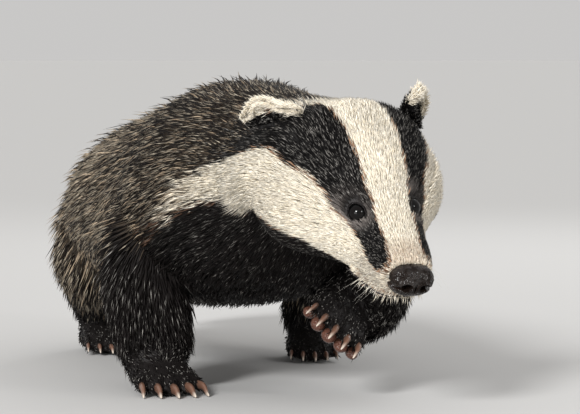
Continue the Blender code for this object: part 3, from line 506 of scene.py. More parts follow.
def noise(seed, points, size):
    # a soft pattern from -1 to 1: sines along random ways, at a few sizes
    draw = np.random.default_rng(seed)
    total = np.zeros(points.shape[:-1])
    for octave in range(3):
        ways = unit(draw.normal(size=(5, points.shape[-1]))) * 2 * np.pi / (size / 1.9**octave)
        phase = draw.uniform(0, 2 * np.pi, 5)
        total += np.sin(points @ ways.T + phase).sum(-1) / 5 * 0.62**octave
    return total * 1.1


# Markings, shared by skin and coat
# the pale grey tint for the tips of dark hair is a painted glint, and the dark grey one for soft patches over
# black fur a painted sheen
tints = dict(cream=(0.88, 0.79, 0.63), white=(0.93, 0.885, 0.79), black=(0.008, 0.0072, 0.0072),
             paintedGlint=(0.38, 0.36, 0.33), rust=(0.30, 0.13, 0.055), buff=(0.34, 0.255, 0.175),
             band=(0.013, 0.010, 0.009), tip=(0.78, 0.68, 0.53), legBlack=(0.010, 0.008, 0.0075),
             muzzle=(0.34, 0.20, 0.12), bare=(0.022, 0.018, 0.017), rumpBuff=(0.46, 0.365, 0.26),
             greySheen=(0.15, 0.145, 0.14), lidGrey=(0.33, 0.29, 0.265), brown=(0.15, 0.085, 0.055),
             dusk=(0.115, 0.080, 0.058), earCup=(0.014, 0.011, 0.010), pupil=(0.002, 0.002, 0.002),
             iris=(0.003, 0.0022, 0.002), clawRoot=(0.15, 0.078, 0.052), clawTip=(0.58, 0.50, 0.42),
             paleWhisker=(0.72, 0.68, 0.60), darkWhisker=(0.03, 0.025, 0.022))
tints = {name: np.array(value) for name, value in tints.items()}
# distance forward in the head, with the white stripe's middle (to the right) and half width there
stripe = dict(forward=(-70, -30, 0, 16, 31, 45, 57, 67, 78, 94, 103, 118, 126),
              middle=(0, 0, -1, -2.5, -4.5, -6, -6.5, -6.5, -6, -3.5, -3, -1.5, 0),
              half=(30, 26, 22, 20.5, 20.5, 20, 19, 18, 17, 14.5, 15.5, 14, 13))
# distance forward, with the angle from the top where the dark stripe ends and the white cheek begins
darkEdge = dict(forward=(-40, 0, 17, 33, 48, 60, 69, 80, 89, 102, 111, 122, 131),
                angle=(70, 66, 67, 59, 52, 47, 46, 50, 57, 63, 67, 79, 84), front=136.0)
# length from the tail's root, with the angle where the white cheek or grey flank meets the black
blackEdge = dict(along=(0, 60, 120, 180, 300, 380, 420, 460, 494, 522, 557, 578, 600, 620, 637, 649, 660, 672,
                        690),
                 angle=(190, 180, 158, 138, 128, 119, 107, 96, 90, 92, 101, 124, 120, 98, 101, 112, 127, 154,
                        200))
# where along the body the white cheek fades into the grey neck at 80 degrees from the top, how much further
# back each degree lower, and over what length
cheekFade = dict(middle=482.0, lean=2.2, half=30.0)


def bodyMarks(along, angle, points, seed=3):
    # shares of white, black and grizzled fur: white stripe and cheeks, dark stripe between them, black below
    right, forward, _ = toHead(points)
    fuzz = noise(seed, points, 26.0)
    fine = noise(seed + 1, points, 8.0)
    degrees = np.degrees(np.abs(angle))
    onHead = smooth(446.0, 466.0, along)
    middle = np.interp(forward, stripe["forward"], stripe["middle"])
    half = np.interp(forward, stripe["forward"], stripe["half"])
    away = np.abs(right - middle) - half + fuzz * 0.8
    upper = smooth(100.0, 84.0, degrees)
    centre = smooth(1.7, -1.7, away) * upper * smooth(-52.0, 4.0, forward + fuzz * 9 + fine * 12)
    low = np.interp(forward, darkEdge["forward"], darkEdge["angle"]) + fuzz * 1.4
    below = np.interp(along, blackEdge["along"], blackEdge["angle"]) + fuzz * 3.0
    wide = 3.0 + 9.0 * smooth(560, 470, along)
    lower = smooth(-wide, wide, degrees - below)
    behind = along - cheekFade["middle"] + cheekFade["lean"] * (np.clip(degrees, 60, 100) - 80)
    cheek = smooth(-2.6, 2.6, degrees - low) * (1 - lower)
    cheek = cheek * smooth(-cheekFade["half"], cheekFade["half"], behind + fuzz * 12 + fine * 10)
    muzzle = smooth(darkEdge["front"] - 3, darkEdge["front"] + 5, forward + fuzz * 2)
    white = np.clip(centre + cheek + muzzle * (1 - lower), 0, 1) * onHead
    dark = (1 - white) * smooth(492.0, 512.0, along) * smooth(-70.0, 6.0, forward + fuzz * 12) * (1 - lower)
    return white, dark, lower * (1 - white)


def bareSkin(points):
    # near the eyes and the nose the skin is bare and dark
    _, forward, _ = toHead(points)
    bare = np.zeros(len(points))
    for side in (1, -1):
        gap = np.linalg.norm(points - eyeCentre(side), axis=1)
        bare = np.maximum(bare, smooth(10.5, 8.5, gap))
    return np.maximum(bare, smooth(143.0, 144.5, forward))


def mixed(base, other, share):
    share = np.asarray(share)[..., None]
    return base * (1 - share) + other * share


def nearLimb(points, margin=1.12):
    # the largest share by which points belong to any limb or paw
    share = np.zeros(len(points))
    for limb in limbs.values():
        down, ratio = limbAddress(limb, points)
        share = np.maximum(share, smooth(margin + 0.2, margin, ratio) * smooth(0.02, 0.12, down))
        reach, _, _ = pawAxes(limb)
        wrist = np.array(limb["wrist"], float)
        share = np.maximum(share, smooth(90.0, 70.0, np.linalg.norm(points - wrist - reach * 30, axis=1)))
    return share


print("skin")
skinMesh = dict(voxel=2.35, smoothing=0.5, rounds=4, lowest=0.05)
skin = joined("skin", skinShells())
remesh = skin.modifiers.new("one skin", "REMESH")
remesh.mode = "VOXEL"
remesh.voxel_size = skinMesh["voxel"] * mm
settle = skin.modifiers.new("settle", "SMOOTH")
settle.factor = skinMesh["smoothing"]
settle.iterations = skinMesh["rounds"]
applyModifiers(skin)
settled = pointsOf(skin) + shift
settled[:, 2] = np.maximum(settled[:, 2], skinMesh["lowest"])     # the soles rest on the floor
skin.data.vertices.foreach_set("co", (settled * mm).ravel())
skin.data.update()
print("  points", len(skin.data.vertices))


# The coat: long tufts on trunk and tail, short ones on head, legs, paws and ears
coat = dict(
    along=(0, 51, 160, 300, 416, 467, 516, 558, 587, 628, 649, 666, 681, 695, 712),
    length=(35, 42, 44, 41, 35, 30, 22, 15, 10.8, 8.4, 6.8, 5.8, 4.8, 3.8, 3.0),
    width=(1.35, 1.35, 1.35, 1.35, 1.25, 1.1, 0.95, 0.82, 0.70, 0.60, 0.56, 0.52, 0.48, 0.44, 0.40),
    cover=(5.4, 5.4, 5.4, 5.6, 5.5, 5.4, 4.7, 3.9, 3.7, 3.5, 3.0, 2.7, 2.35, 2.1, 1.95),
    thin=0.6)
# where each piece starts and ends, from the tail's root
coatPieces = {
    "coat_rump": (0, 110), "coat_flanks": (110, 215), "coat_barrel": (215, 310), "coat_back": (310, 400),
    "coat_shoulders": (400, 480), "coat_neck": (480, 562), "coat_crown": (562, 606),
    "coat_cheeks": (606, 640), "coat_face": (640, 672), "coat_snout": (672, 716)}
# how wide a tuft is at each ring, and how far along it the rings lie; flat is its thickness to its width
tuft = dict(profile=np.array([0.8, 1.0, 0.0]), steps=np.array([0.0, 0.60, 1.0]), flat=0.6, patch=0.003)
triangleCounts = []


def tuftMesh(name, spine, outward, width, colours, tips, uvRoot):
    # each tuft: a flattened three-sided ring at every point of its spine but the last, a closed root and a
    # pointed tip; its patch of the unwrap is 0.003 across, at its root's place
    count, rings, _ = spine.shape
    heading = unit(np.gradient(spine, axis=1))
    across = unit(np.cross(heading, outward))
    above = np.cross(across, heading)
    turn = np.radians([90, 210, 330])
    radius = 0.5 * width[:, None] * tuft["profile"][None, :-1]
    sideways = (radius[..., None] * np.cos(turn))[..., None] * across[:, :-1, None]
    upward = (radius[..., None] * np.sin(turn) * tuft["flat"])[..., None] * above[:, :-1, None]
    sides = spine[:, :-1, None] + sideways + upward
    perTuft = 3 * (rings - 1) + 1
    points = np.concatenate([sides.reshape(count, -1, 3), spine[:, -1:]], 1).reshape(-1, 3)
    around = [(k, (k + 1) % 3) for k in range(3)]
    quads = [(3 * r + a, 3 * r + b, 3 * r + 3 + b, 3 * r + 3 + a)
             for r in range(rings - 2) for a, b in around]
    last = 3 * (rings - 2)
    ends = [(last + a, last + b, last + 3) for a, b in around] + [(2, 1, 0)]
    corners = np.concatenate([np.array(quads).ravel(), np.array(ends).ravel()])
    starts = np.concatenate([np.arange(len(quads)) * 4, len(quads) * 4 + np.arange(4) * 3])
    first = np.arange(count)[:, None]
    mesh = bpy.data.meshes.new(name)
    mesh.vertices.add(len(points))
    mesh.vertices.foreach_set("co", ((points + shift) * mm).astype(np.float32).ravel())
    mesh.loops.add(count * len(corners))
    loopPoint = (first * perTuft + corners[None]).ravel()
    mesh.loops.foreach_set("vertex_index", loopPoint.astype(np.int32))
    mesh.polygons.add(count * len(starts))
    mesh.polygons.foreach_set("loop_start", (first * len(corners) + starts[None]).ravel().astype(np.int32))
    mesh.update(calc_edges=True)
    obj = bpy.data.objects.new(name, mesh)
    bpy.context.scene.collection.objects.link(obj)
    ringOf = np.append(np.repeat(np.arange(rings - 1), 3), rings - 1)
    setColour(obj, "coatColour", np.clip(colours[:, ringOf], 0.002, 1).reshape(-1, 3))
    setColour(obj, "tipColour", np.repeat(np.clip(tips, 0.002, 1), perTuft, 0))
    roundTuft = np.append(np.tile([0.0, 0.5, 1.0], rings - 1), 0.5)
    upTuft = tuft["steps"][ringOf]
    unwrap = (0.01 + 0.975 * uvRoot)[:, None] + np.stack([roundTuft, upTuft], -1) * tuft["patch"]
    layer = mesh.uv_layers.new(name="OFBake")
    layer.data.foreach_set("uv", unwrap.reshape(-1, 2)[loopPoint].astype(np.float32).ravel())
    golden = np.repeat(np.arange(count)[:, None] * 0.618 % 1.0, perTuft, 1)
    strand = np.stack([*np.broadcast_arrays(roundTuft, upTuft, golden)], -1)
    streak = mesh.attributes.new("strand", "FLOAT_VECTOR", "POINT")
    streak.data.foreach_set("vector", strand.astype(np.float32).ravel())
    finish(obj, materials["coat"])
    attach(obj, "root")
    made = count * (6 * (rings - 2) + 4)
    triangleCounts.append(made)
    print(f"  {name}: {count} tufts, {made} triangles")


# kinds of tuft: 0 white, 1 black, 2 the legs' black, 3 rusty, 4 grizzled, 5 brown; how many have a pale grey
# tip, a painted glint on dark hair
glintShares = (0, 0.30, 0.22, 0, 0, 0.3)


def furColours(kind, t, draw, shade=0.5):
    # colours along each tuft by its kind, and its tip's own; grizzled ones have a buff base, then a black
    # band with a pale or black tip, or are buff throughout; shade, 0 to 1, makes black tips commoner
    count = len(kind)
    t = np.broadcast_to(np.array(t)[None, :], (count, len(t)))
    shade = np.broadcast_to(shade, (count,))[:, None]
    chance = lambda: draw.uniform(size=(count, 1))
    every = np.ones((count, len(t[0]), 1))
    white = mixed(tints["cream"], tints["white"], smooth(0.0, 0.8, t) * chance())
    rusty = mixed(tints["rust"], tints["cream"], 0.25 * t)
    place = t + draw.uniform(-0.15, 0.15, (count, 1))
    base = mixed(tints["rumpBuff"], tints["buff"], shade) * draw.uniform(0.75, 1.1, (count, 1, 1))
    sort = chance()
    blackTipped = sort < 0.16 + 0.50 * shade
    buffOnly = sort > 0.60 + 0.34 * shade
    band = smooth(0.10, 0.40, place) * ~buffOnly
    fringe = mixed(tints["brown"], tints["band"], 0.5 * chance())
    table = np.stack([white, tints["black"] * every, tints["legBlack"] * every, rusty,
                      mixed(base, tints["band"], band), fringe * every])
    # some black, leg-black and brown tufts get a pale grey tip: a painted glint on dark hair
    glinted = chance() < np.array(glintShares)[kind][:, None]
    glinted = glinted * draw.uniform(0.35, 1.0, (count, 1))
    pale = ~blackTipped * np.where(buffOnly, 0.35, draw.uniform(0.8, 1.0, (count, 1)))
    own = table[:, :, -1].copy()
    own[4] = mixed(own[4], tints["tip"], pale[:, 0])
    own = own[kind, np.arange(count)]
    gain = draw.uniform(0.82, 1.10, (count, 1))
    return table[kind, np.arange(count)] * gain[:, None], mixed(own, tints["paintedGlint"], glinted[:, 0]) * gain


def chooseKind(white, dark, low, rustier, draw):
    # one kind for each tuft, drawn by the shares, with some rusty ones where black meets white on the head
    # and brown ones along the lower black's edge
    pick = draw.uniform(size=len(white))
    kind = np.select([pick < white, pick < white + dark, pick < white + dark + low], [0, 1, 2], 4)
    edge = (white > 0.05) & (white < 0.95)
    kind = np.where(edge & (draw.uniform(size=len(white)) < 0.34 * rustier), 3, kind)
    fringe = (low > 0.03) & (low < 0.9) & (kind == 2)
    return np.where(fringe & (draw.uniform(size=len(white)) < 0.6), 5, kind)


lie = dict(along=(0, 60, 140, 300, 390, 440, 475, 508, 545, 582, 590, 597, 606, 626, 640, 652, 700),
           fall=(72, 60, 36, 24, 26, 24, 18, 8, -6, -8, 12, 30, 44, 37, 16, 8, 10))


def fallOf(along, angle):
    # how far the coat falls from straight back, in radians: most on the sides, and down over the shoulder
    onHead = smooth(520, 600, along)
    side = np.abs(np.sin(angle)) ** 0.7 * (1 - onHead) + onHead * smooth(0.2, 1.3, np.abs(angle))
    return np.radians(np.interp(along, lie["along"], lie["fall"]) * side + 3 * onHead) * np.sign(angle)


def layBack(along, angle, length, fall, clumpLong, clumpRound, t):
    # along and angle of each point of a tuft laid back over the body, drawn in to its clump's middle
    girth = np.interp(along, bodyAlong, bodyTable[:, 6])
    run = along - length * np.cos(fall) * t + 0.5 * clumpLong * t**2
    turn = angle + (length * np.sin(fall) * t * (0.7 + 0.3 * t) + 0.55 * clumpRound * t**1.5) / girth
    return run, turn


def lieAt(points):
    # the way the body's coat lies at points
    along, angle, _ = bodyAddress(points)
    run, turn = layBack(along, angle, 12.0, fallOf(along, angle), 0.0, 0.0, 1.0)
    return unit(bodyPoint(run, turn, 0.3) - bodyPoint(along, angle, 0.3))


def trunkTufts():
    # roots drawn by area times density over the body's surface
    draw = np.random.default_rng(21)
    alongGrid = np.linspace(2, bodyEnd - 1.5, 356)
    angleGrid = np.linspace(-np.pi, np.pi, 181)
    surface = bodyPoint(alongGrid[:, None], angleGrid[None, :], skinShare(alongGrid)[:, None])
    overStep = surface[1:, :-1] - surface[:-1, :-1]
    roundStep = surface[:-1, 1:] - surface[:-1, :-1]
    area = np.linalg.norm(np.cross(overStep, roundStep), axis=2)
    middle = (alongGrid[1:] + alongGrid[:-1]) / 2
    length, width, cover = (np.interp(middle, coat["along"], coat[k]) for k in ("length", "width", "cover"))
    thin = 1 - coat["thin"] * smooth(2.0, 2.5, np.abs(angleGrid[:-1]))
    chance = area * (cover / (0.5 * length * width))[:, None] * thin[None]
    count = int(chance.sum())
    cell = np.searchsorted(np.cumsum(chance.ravel()) / chance.sum(), draw.uniform(size=count))
    row, column = np.divmod(cell, chance.shape[1])
    row = np.minimum(row, chance.shape[0] - 1)
    along = alongGrid[row] + draw.uniform(size=count) * (alongGrid[1] - alongGrid[0])
    angle = angleGrid[column] + draw.uniform(size=count) * (angleGrid[1] - angleGrid[0])
    roots = bodyPoint(along, angle, skinShare(along))
    keep = np.ones(count, bool)
    for limb in limbs.values():
        down, ratio = limbAddress(limb, roots)
        keep &= ~((ratio < 0.93) & (down > draw.uniform(0.10, 0.30, count)))
    for side in (1, -1):
        keep &= eyeGap(side, roots) > 1.0
    near = along > 600
    gap = np.full(count, 99.0)
    gap[near] = np.linalg.norm(roots[near][:, None] - lipLine(60)[None], axis=2).min(1)
    keep &= gap > 2.2
    return along[keep], angle[keep], roots[keep], draw


def eyeGap(side, points):
    # distance from the eye's middle across the face, 1 at the lids' outer edge
    along, upward, out = eyeAxes(side)
    away = points - eyeCentre(side)
    flat = np.hypot(away @ along / 7.7, away @ upward / 6.3)
    return np.where(np.abs(away @ out) < 14, flat, 9.0)


def greyByEye(side, points):
    # the grey patch by an eye: strongest in front of it and below, weaker behind, hardly any above
    along, upward, _ = eyeAxes(side)
    away = unit(points - eyeCentre(side))
    lean = smooth(-0.9, 0.7, away @ along * 0.55 - away @ upward * 0.85)
    return smooth(2.5, 1.2, eyeGap(side, points)) * (0.12 + 0.88 * lean)


def trunkCoat():
    along, angle, roots, draw = trunkTufts()
    count = len(along)
    girth = np.interp(along, bodyAlong, bodyTable[:, 6])
    wave = noise(8, np.stack([along, angle * girth], -1), 70.0)
    length = np.interp(along, coat["along"], coat["length"]) * draw.uniform(0.68, 1.15, count)
    length *= 1 - 0.45 * smooth(1.9, 2.5, np.abs(angle)) * smooth(560, 500, along)
    jowl = smooth(1.2, 1.6, np.abs(angle)) * smooth(2.3, 1.9, np.abs(angle)) * smooth(540, 570, along)
    length *= 1 + 0.45 * jowl * smooth(660, 630, along)
    width = np.interp(along, coat["along"], coat["width"]) * draw.uniform(0.6, 1.2, count)
    fall = fallOf(along, angle) + np.radians(draw.normal(0, 6, count) + 8 * wave)
    cellLong, cellRound = length * 0.36, np.maximum(length * 0.17, 2.0)
    clumpLong = (np.round(along / cellLong + 0.3 * wave) - 0.3 * wave) * cellLong - along
    clumpRound = (np.round(angle * girth / cellRound) * cellRound - angle * girth)
    tipShare = draw.beta(1.4, 3.0, count) * 0.60 - 0.03
    tipShare -= ((draw.uniform(size=count) < 0.10) * draw.uniform(0.05, 0.25, count)
                 * (0.35 + 0.65 * smooth(470, 380, along)) * smooth(600, 540, along))
    tipShare -= (0.45 * smooth(590, 620, along) * smooth(690, 660, along) * (angle < -1.0)
                 * draw.uniform(0, 1, count))
    tipShare -= 0.45 * smooth(562, 582, along) * smooth(606, 592, along) * smooth(1.2, 1.5, np.abs(angle))
    tipShare -= smooth(2.0, 2.6, np.abs(angle)) * smooth(600, 540, along) * draw.uniform(0.0, 1.3, count)
    midRun, midTurn = layBack(along, angle, length, fall, clumpLong, clumpRound, 0.6)
    middle = bodyPoint(midRun, midTurn, 0.15)
    marks = bodyMarks(midRun, np.remainder(midTurn + np.pi, 2 * np.pi) - np.pi, middle)
    kind = chooseKind(*marks, smooth(560, 600, along) * smooth(1.8, 1.6, np.abs(angle)), draw)
    # darker over the top of the body from the middle forward: partly the coat's own darker saddle, partly
    # painted shade on the top
    saddleAndShade = 0.52 * smooth(220, 400, along) * smooth(1.5, 0.6, np.abs(angle))
    shade = (0.26 + 0.22 * smooth(310, 400, along) + saddleAndShade - 0.08 * smooth(260, 60, along)
             + 0.30 * noise(5, roots, 44.0))
    # soft grey patches over the black fur: painted sheen
    sheenPatches = smooth(0.2, 0.9, noise(6, roots, 30.0)) * (kind == 1)
    creamy = smooth(540, 460, along) * (kind == 0) * draw.uniform(0.2, 0.9, count)
    _, forward, _ = toHead(roots)
    brownish = (smooth(120.0, 136.0, forward) * (kind == 0) * smooth(0.45, 0.95, np.cos(angle))
                * draw.uniform(0.1, 0.85, count))
    dusky = (smooth(106.0, 124.0, forward) * smooth(1.0, 1.55, np.abs(angle)) * (kind == 0)
             * draw.uniform(0.0, 1.0, count) ** 1.4)
    nearEye = np.maximum(greyByEye(1, roots), greyByEye(-1, roots)) * (kind == 1)
    for name, (start, end) in coatPieces.items():
        own = (along >= start) & (along < end)
        t = tuft["steps"][None, :]
        pick = lambda values: values[own][:, None]
        run, turn = layBack(*(pick(v) for v in (along, angle, length, fall, clumpLong, clumpRound)), t)
        rootShare = skinShare(pick(along)) + 0.06
        share = rootShare + (pick(tipShare) - rootShare) * np.sin(t * np.pi / 2) ** 1.2
        spine = bodyPoint(run, turn, share)
        spine = spine + np.maximum(-run, 0)[..., None] * np.array([0.0, 0.70, -0.70])
        outward = unit(spine - bodyPoint(run, turn, share + 0.4))
        colours, tips = furColours(kind[own], tuft["steps"], draw, np.clip(shade[own], 0.05, 1.0))
        for tint, amount in (("greySheen", sheenPatches * 0.12), ("muzzle", brownish), ("lidGrey", nearEye * 0.8),
                             ("dusk", dusky), ("rumpBuff", creamy)):
            colours = mixed(colours, tints[tint], pick(amount) * (0.4 + 0.6 * t))
            tips = mixed(tips, tints[tint], amount[own])
        uv = np.stack([angle[own] / (2 * np.pi) + 0.5, (along[own] - start) / (end - start)], -1)
        tuftMesh(name, spine, outward, width[own], colours, tips, uv)


def skinSamples(count, weight, draw):
    # roots on the finished skin, drawn by area times weight, with the skin's own normals there
    mesh = skin.data
    normals = np.empty(len(mesh.polygons) * 3)
    mesh.polygons.foreach_get("normal", normals)
    areas = np.empty(len(mesh.polygons))
    mesh.polygons.foreach_get("area", areas)
    chance = np.cumsum(areas * weight)
    pick = np.searchsorted(chance / chance[-1], draw.uniform(size=count))
    pick = np.minimum(pick, len(areas) - 1)
    normal = normals.reshape(-1, 3)[pick]
    spot = draw.uniform(-0.5, 0.5, (count, 3)) * (np.sqrt(areas[pick]) / mm)[:, None]
    spot -= normal * (spot * normal).sum(1, keepdims=True)
    return skinCentres[pick] + spot, normal


def shortTufts(name, roots, normal, way, length, width, depth, kind, uv, draw, sink=0.8, floor=True,
               shade=0.8, dusky=0.0):
    # three-ring tufts that leave the skin along way and rise from it by the sine of their length
    t = tuft["steps"][None, :, None]
    rise = np.sin(t * np.pi / 2) ** 1.1 * depth[:, None, None]
    spine = roots[:, None] - sink * normal[:, None] + way[:, None] * length[:, None, None] * t
    spine = spine + normal[:, None] * rise + np.array([0, 0, -0.6]) * (t**2)
    if floor:
        spine[..., 2] = np.maximum(spine[..., 2], 1.0 - shift[2])
    colours, tips = furColours(kind, tuft["steps"], draw, shade)
    # the grizzled tufts' roots are darkened to three tenths: painted shade at the roots, as if the coat
    # covered them
    colours[:, 0] *= np.where(kind == 4, 0.3, 1.0)[:, None]
    dusky = np.broadcast_to(dusky, (len(roots),))
    colours = mixed(colours, tints["dusk"], dusky[:, None] * np.ones(3))
    tips = mixed(tips, tints["dusk"], dusky * 0.7)
    tuftMesh(name, spine, np.repeat(normal[:, None], 3, 1), width, colours, tips, uv)


# tufts are how many a leg has, and its paw; greyAbove is how far down the leg the grizzled coat reaches
legCoat = dict(length=(34, 24, 16, 11), width=(1.25, 1.15, 1.0, 0.85), pawLength=8.0, pawWidth=0.8,
               tufts=dict(foreRight=(8400, 3600), foreLeft=(7800, 3800), hindRight=(4800, 2100),
                          hindLeft=(4800, 2100)),
               greyAbove=dict(foreRight=0.16, foreLeft=0.16, hindRight=0.50, hindLeft=0.50))


def limbCoat(name, key, draw):
    # a leg and its paw: tufts that follow the body's coat at the top, run down the limb, and lie along the
    # toes
    limb = limbs[key]
    down, ratio = limbAddress(limb, skinCentres)
    reach, across, palmWay = pawAxes(limb)
    wrist = np.array(limb["wrist"], float)
    ahead = (skinCentres - wrist) @ reach
    size = limb["length"] + limb["toe"] * 2
    offLine = np.linalg.norm(skinCentres - wrist - reach * np.clip(ahead, 0, size)[:, None], axis=1)
    inPaw = (ahead > -12) & (ahead < size) & (offLine < limb["halfWidth"] * 1.25)
    inLeg = (ratio < 1.14) & ~inPaw
    legCount, pawCount = legCoat["tufts"][key]
    roots, normal = skinSamples(legCount, inLeg * (0.55 + 0.45 * smooth(0.05, 0.3, down)), draw)
    at, _ = limbAddress(limb, roots)
    heading = limbFrame(limb, 61)[1][np.round(at * 60).astype(int)]
    sweep = unit(heading + np.array([0, 0.55, -0.2]) * (1 - at)[:, None])
    way = mixed(lieAt(roots), sweep, smooth(0.0, 0.34, at))
    length = np.interp(at, (0.1, 0.4, 0.7, 1), legCoat["length"])
    width = np.interp(at, (0.1, 0.4, 0.7, 1), legCoat["width"])
    depth = np.interp(at, (0.0, 0.4, 1), (6.5, 4.6, 3.2))
    pawRoots, pawNormal = skinSamples(pawCount, inPaw.astype(float), draw)
    spread = ((pawRoots - wrist) @ across / limb["halfWidth"])[:, None]
    sole = (pawNormal @ palmWay) > (0.30 if limb["lifted"] else 0.62)
    farOut = (pawRoots - wrist) @ reach > limb["length"] + limb["toe"] * 0.80
    keep = np.concatenate([np.ones(legCount, bool), ~(sole | (farOut & (draw.uniform(size=pawCount) < 0.5)))])
    roots, normal = np.concatenate([roots, pawRoots]), np.concatenate([normal, pawNormal])
    way = np.concatenate([way, unit(reach + across * spread * 0.18 - palmWay * 0.05)])
    withPaw = lambda values, pawValue: np.concatenate([values, np.full(pawCount, pawValue)])
    length = withPaw(length, legCoat["pawLength"]) * draw.uniform(0.7, 1.2, len(roots))
    width = withPaw(width, legCoat["pawWidth"]) * draw.uniform(0.7, 1.2, len(roots))
    depth = withPaw(depth, paw["fur"] * 0.9) * draw.uniform(0.4, 1.15, len(roots))
    at = withPaw(at, 1.0)
    way = unit(way - normal * (way * normal).sum(1, keepdims=True) * 0.97)
    way = unit(way + draw.normal(0, 0.10, (len(roots), 3)))
    greyEnd = legCoat["greyAbove"][key]
    body = bodyAddress(roots)
    grey = smooth(greyEnd + 0.16, greyEnd - 0.04, at + 0.06 * noise(12, roots, 30.0))
    if key.startswith("fore"):
        grey = grey * (1 - bodyMarks(body[0], body[1], roots)[2])
    kind = np.where(draw.uniform(size=len(roots)) < grey, 4, 2)
    turned = np.arctan2((roots - wrist) @ across, (roots - wrist) @ palmWay) / (2 * np.pi) + 0.5
    further = np.clip(at * 0.7 + 0.28 * np.clip(((roots - wrist) @ reach) / 90, 0, 1), 0, 1)
    uv = np.stack([turned, further], -1)
    shortTufts(name, *(v[keep] for v in (roots, normal, way, length, width, depth, kind, uv)), draw,
               shade=0.9 if key.startswith("fore") else 0.4)


tailCoat = dict(tufts=5000, stand=(3.0, 19.0), length=(42, 50, 46), droop=10.0, width=(0.9, 1.5))


def brush():
    # the tail: tufts from a thin core, standing off by the sine of their length and drooping at the ends
    draw = np.random.default_rng(55)
    count = tailCoat["tufts"]
    path = curveThrough(tailShape["spine"], 81)
    heading = unit(np.gradient(path, axis=0))
    core = np.interp(np.linspace(0, 4, 81), range(5), tailShape["widths"])
    start = draw.uniform(0.02, 0.97, count)
    at = (start * 80).astype(int)
    angle = draw.uniform(0, 2 * np.pi, count)
    sideWay = np.array([1.0, 0, 0])
    upWay = unit(np.cross(sideWay, heading[at]))
    out = sideWay * np.cos(angle)[:, None] + upWay * np.sin(angle)[:, None]
    length = draw.uniform(0.62, 1.0, count) * np.interp(start, (0.1, 0.5, 1), tailCoat["length"])
    t = tuft["steps"][None, :, None]
    stand = draw.uniform(*tailCoat["stand"], count) * np.interp(start, (0, 0.2, 0.5, 1), (0.1, 0.6, 1.0, 0.7))
    rise = (core[at] * 0.75)[:, None, None] + stand[:, None, None] * np.sin(t * np.pi / 2) ** 0.9
    spine = path[at][:, None] + heading[at][:, None] * length[:, None, None] * t + out[:, None] * rise
    spine = spine + np.array([0, 0, -tailCoat["droop"]]) * t**2
    spine = spine + draw.normal(0, 3.2, (count, 1, 3)) * t**1.5
    kind = np.where(draw.uniform(size=count) < 1.0 - 0.34 * smooth(0.1, 0.6, start), 4, 0)
    shade = 0.32 - 0.24 * start + draw.uniform(-0.08, 0.08, count)
    colours, tips = furColours(kind, tuft["steps"], draw, np.clip(shade, 0.05, 1))
    pale = (0.45 * smooth(0.0, 0.7, start))[:, None] + 0 * colours[..., 0]
    colours = mixed(colours, tints["rumpBuff"], pale)
    uv = np.stack([angle / (2 * np.pi), start], -1)
    width = draw.uniform(*tailCoat["width"], count)
    tuftMesh("coat_tail", spine, np.repeat(out[:, None], 3, 1), width, colours, tips, uv)


earFur = dict(tufts=4700, length={1: (5.5, 7.0), -1: (4.6, 5.2)}, width=0.55, white={1: 0.14, -1: 0.68},
              inside={1: 7.0, -1: 4.5}, lean={1: 0.65, -1: 0.05})


def earCoat(side, name, draw):
    # short tufts on both faces, thickest towards the rim, white along it and dark below, with a rusty dip in
    # the near ear's white; the cup's own are longer and cross its opening
    count = earFur["tufts"]
    height = 0.99 - 1.5 * draw.uniform(size=count) ** 1.3
    across = draw.uniform(0.02, 0.98, count)
    face = np.where(draw.uniform(size=count) < 0.5, -1.0, 1.0)
    normal = earNormal(side, height, across) * face[:, None]
    roots = earPoint(side, height, across) + normal * 1.1
    up = unit(earPoint(side, height + 0.05, across) - earPoint(side, height - 0.05, across))
    over = unit(earPoint(side, height, across + 0.04) - earPoint(side, height, across - 0.04))
    lean = (across - 0.5) * 0.7 + earFur["lean"][side] * smooth(1.0, 0.7, across)
    way = unit(up + over * lean[:, None] + draw.normal(0, 0.24, (count, 3)))
    inside = (face > 0) & (height < 0.38) & (height > 0)
    length = np.interp(height, (0.3, 1.0), earFur["length"][side]) * draw.uniform(0.7, 1.15, count)
    length = np.where(inside, earFur["inside"][side], length)
    length *= 1 - 0.45 * smooth(0.72, 1.0, across)
    depth = draw.uniform(0.5, 2.6, count) + inside * draw.uniform(0.0, 4.0, count)
    dip = (side > 0) * smooth(0.16, 0.03, np.abs(across - 0.40)) * (face > 0)
    start = earFur["white"][side] + 0.42 * dip
    onRim = smooth(-0.05, 0.05, height - start + 0.05 * noise(4, roots, 9.0)
                   + 0.30 * smooth(0.22, 0.04, across) + 0.15 * smooth(0.7, 0.95, across))
    kind = np.where(draw.uniform(size=count) < onRim, 0, 1)
    rusty = (dip > 0.1) & (height > 0.26) & (draw.uniform(size=count) < 0.7)
    kind = np.where(rusty & (kind == 1), 3, kind)
    uv = np.stack([across * 0.48 + 0.51 * (face > 0), np.clip(height, 0, 1)], -1)
    width = earFur["width"] * draw.uniform(0.8, 1.2, count)
    shortTufts(name, roots, normal, way, length, width, depth, kind, uv, draw, sink=0.2, floor=False)


lipFur = dict(tufts=7000, length=3.0, width=0.42, bristles=120, bristle=(4.5, 9.0))


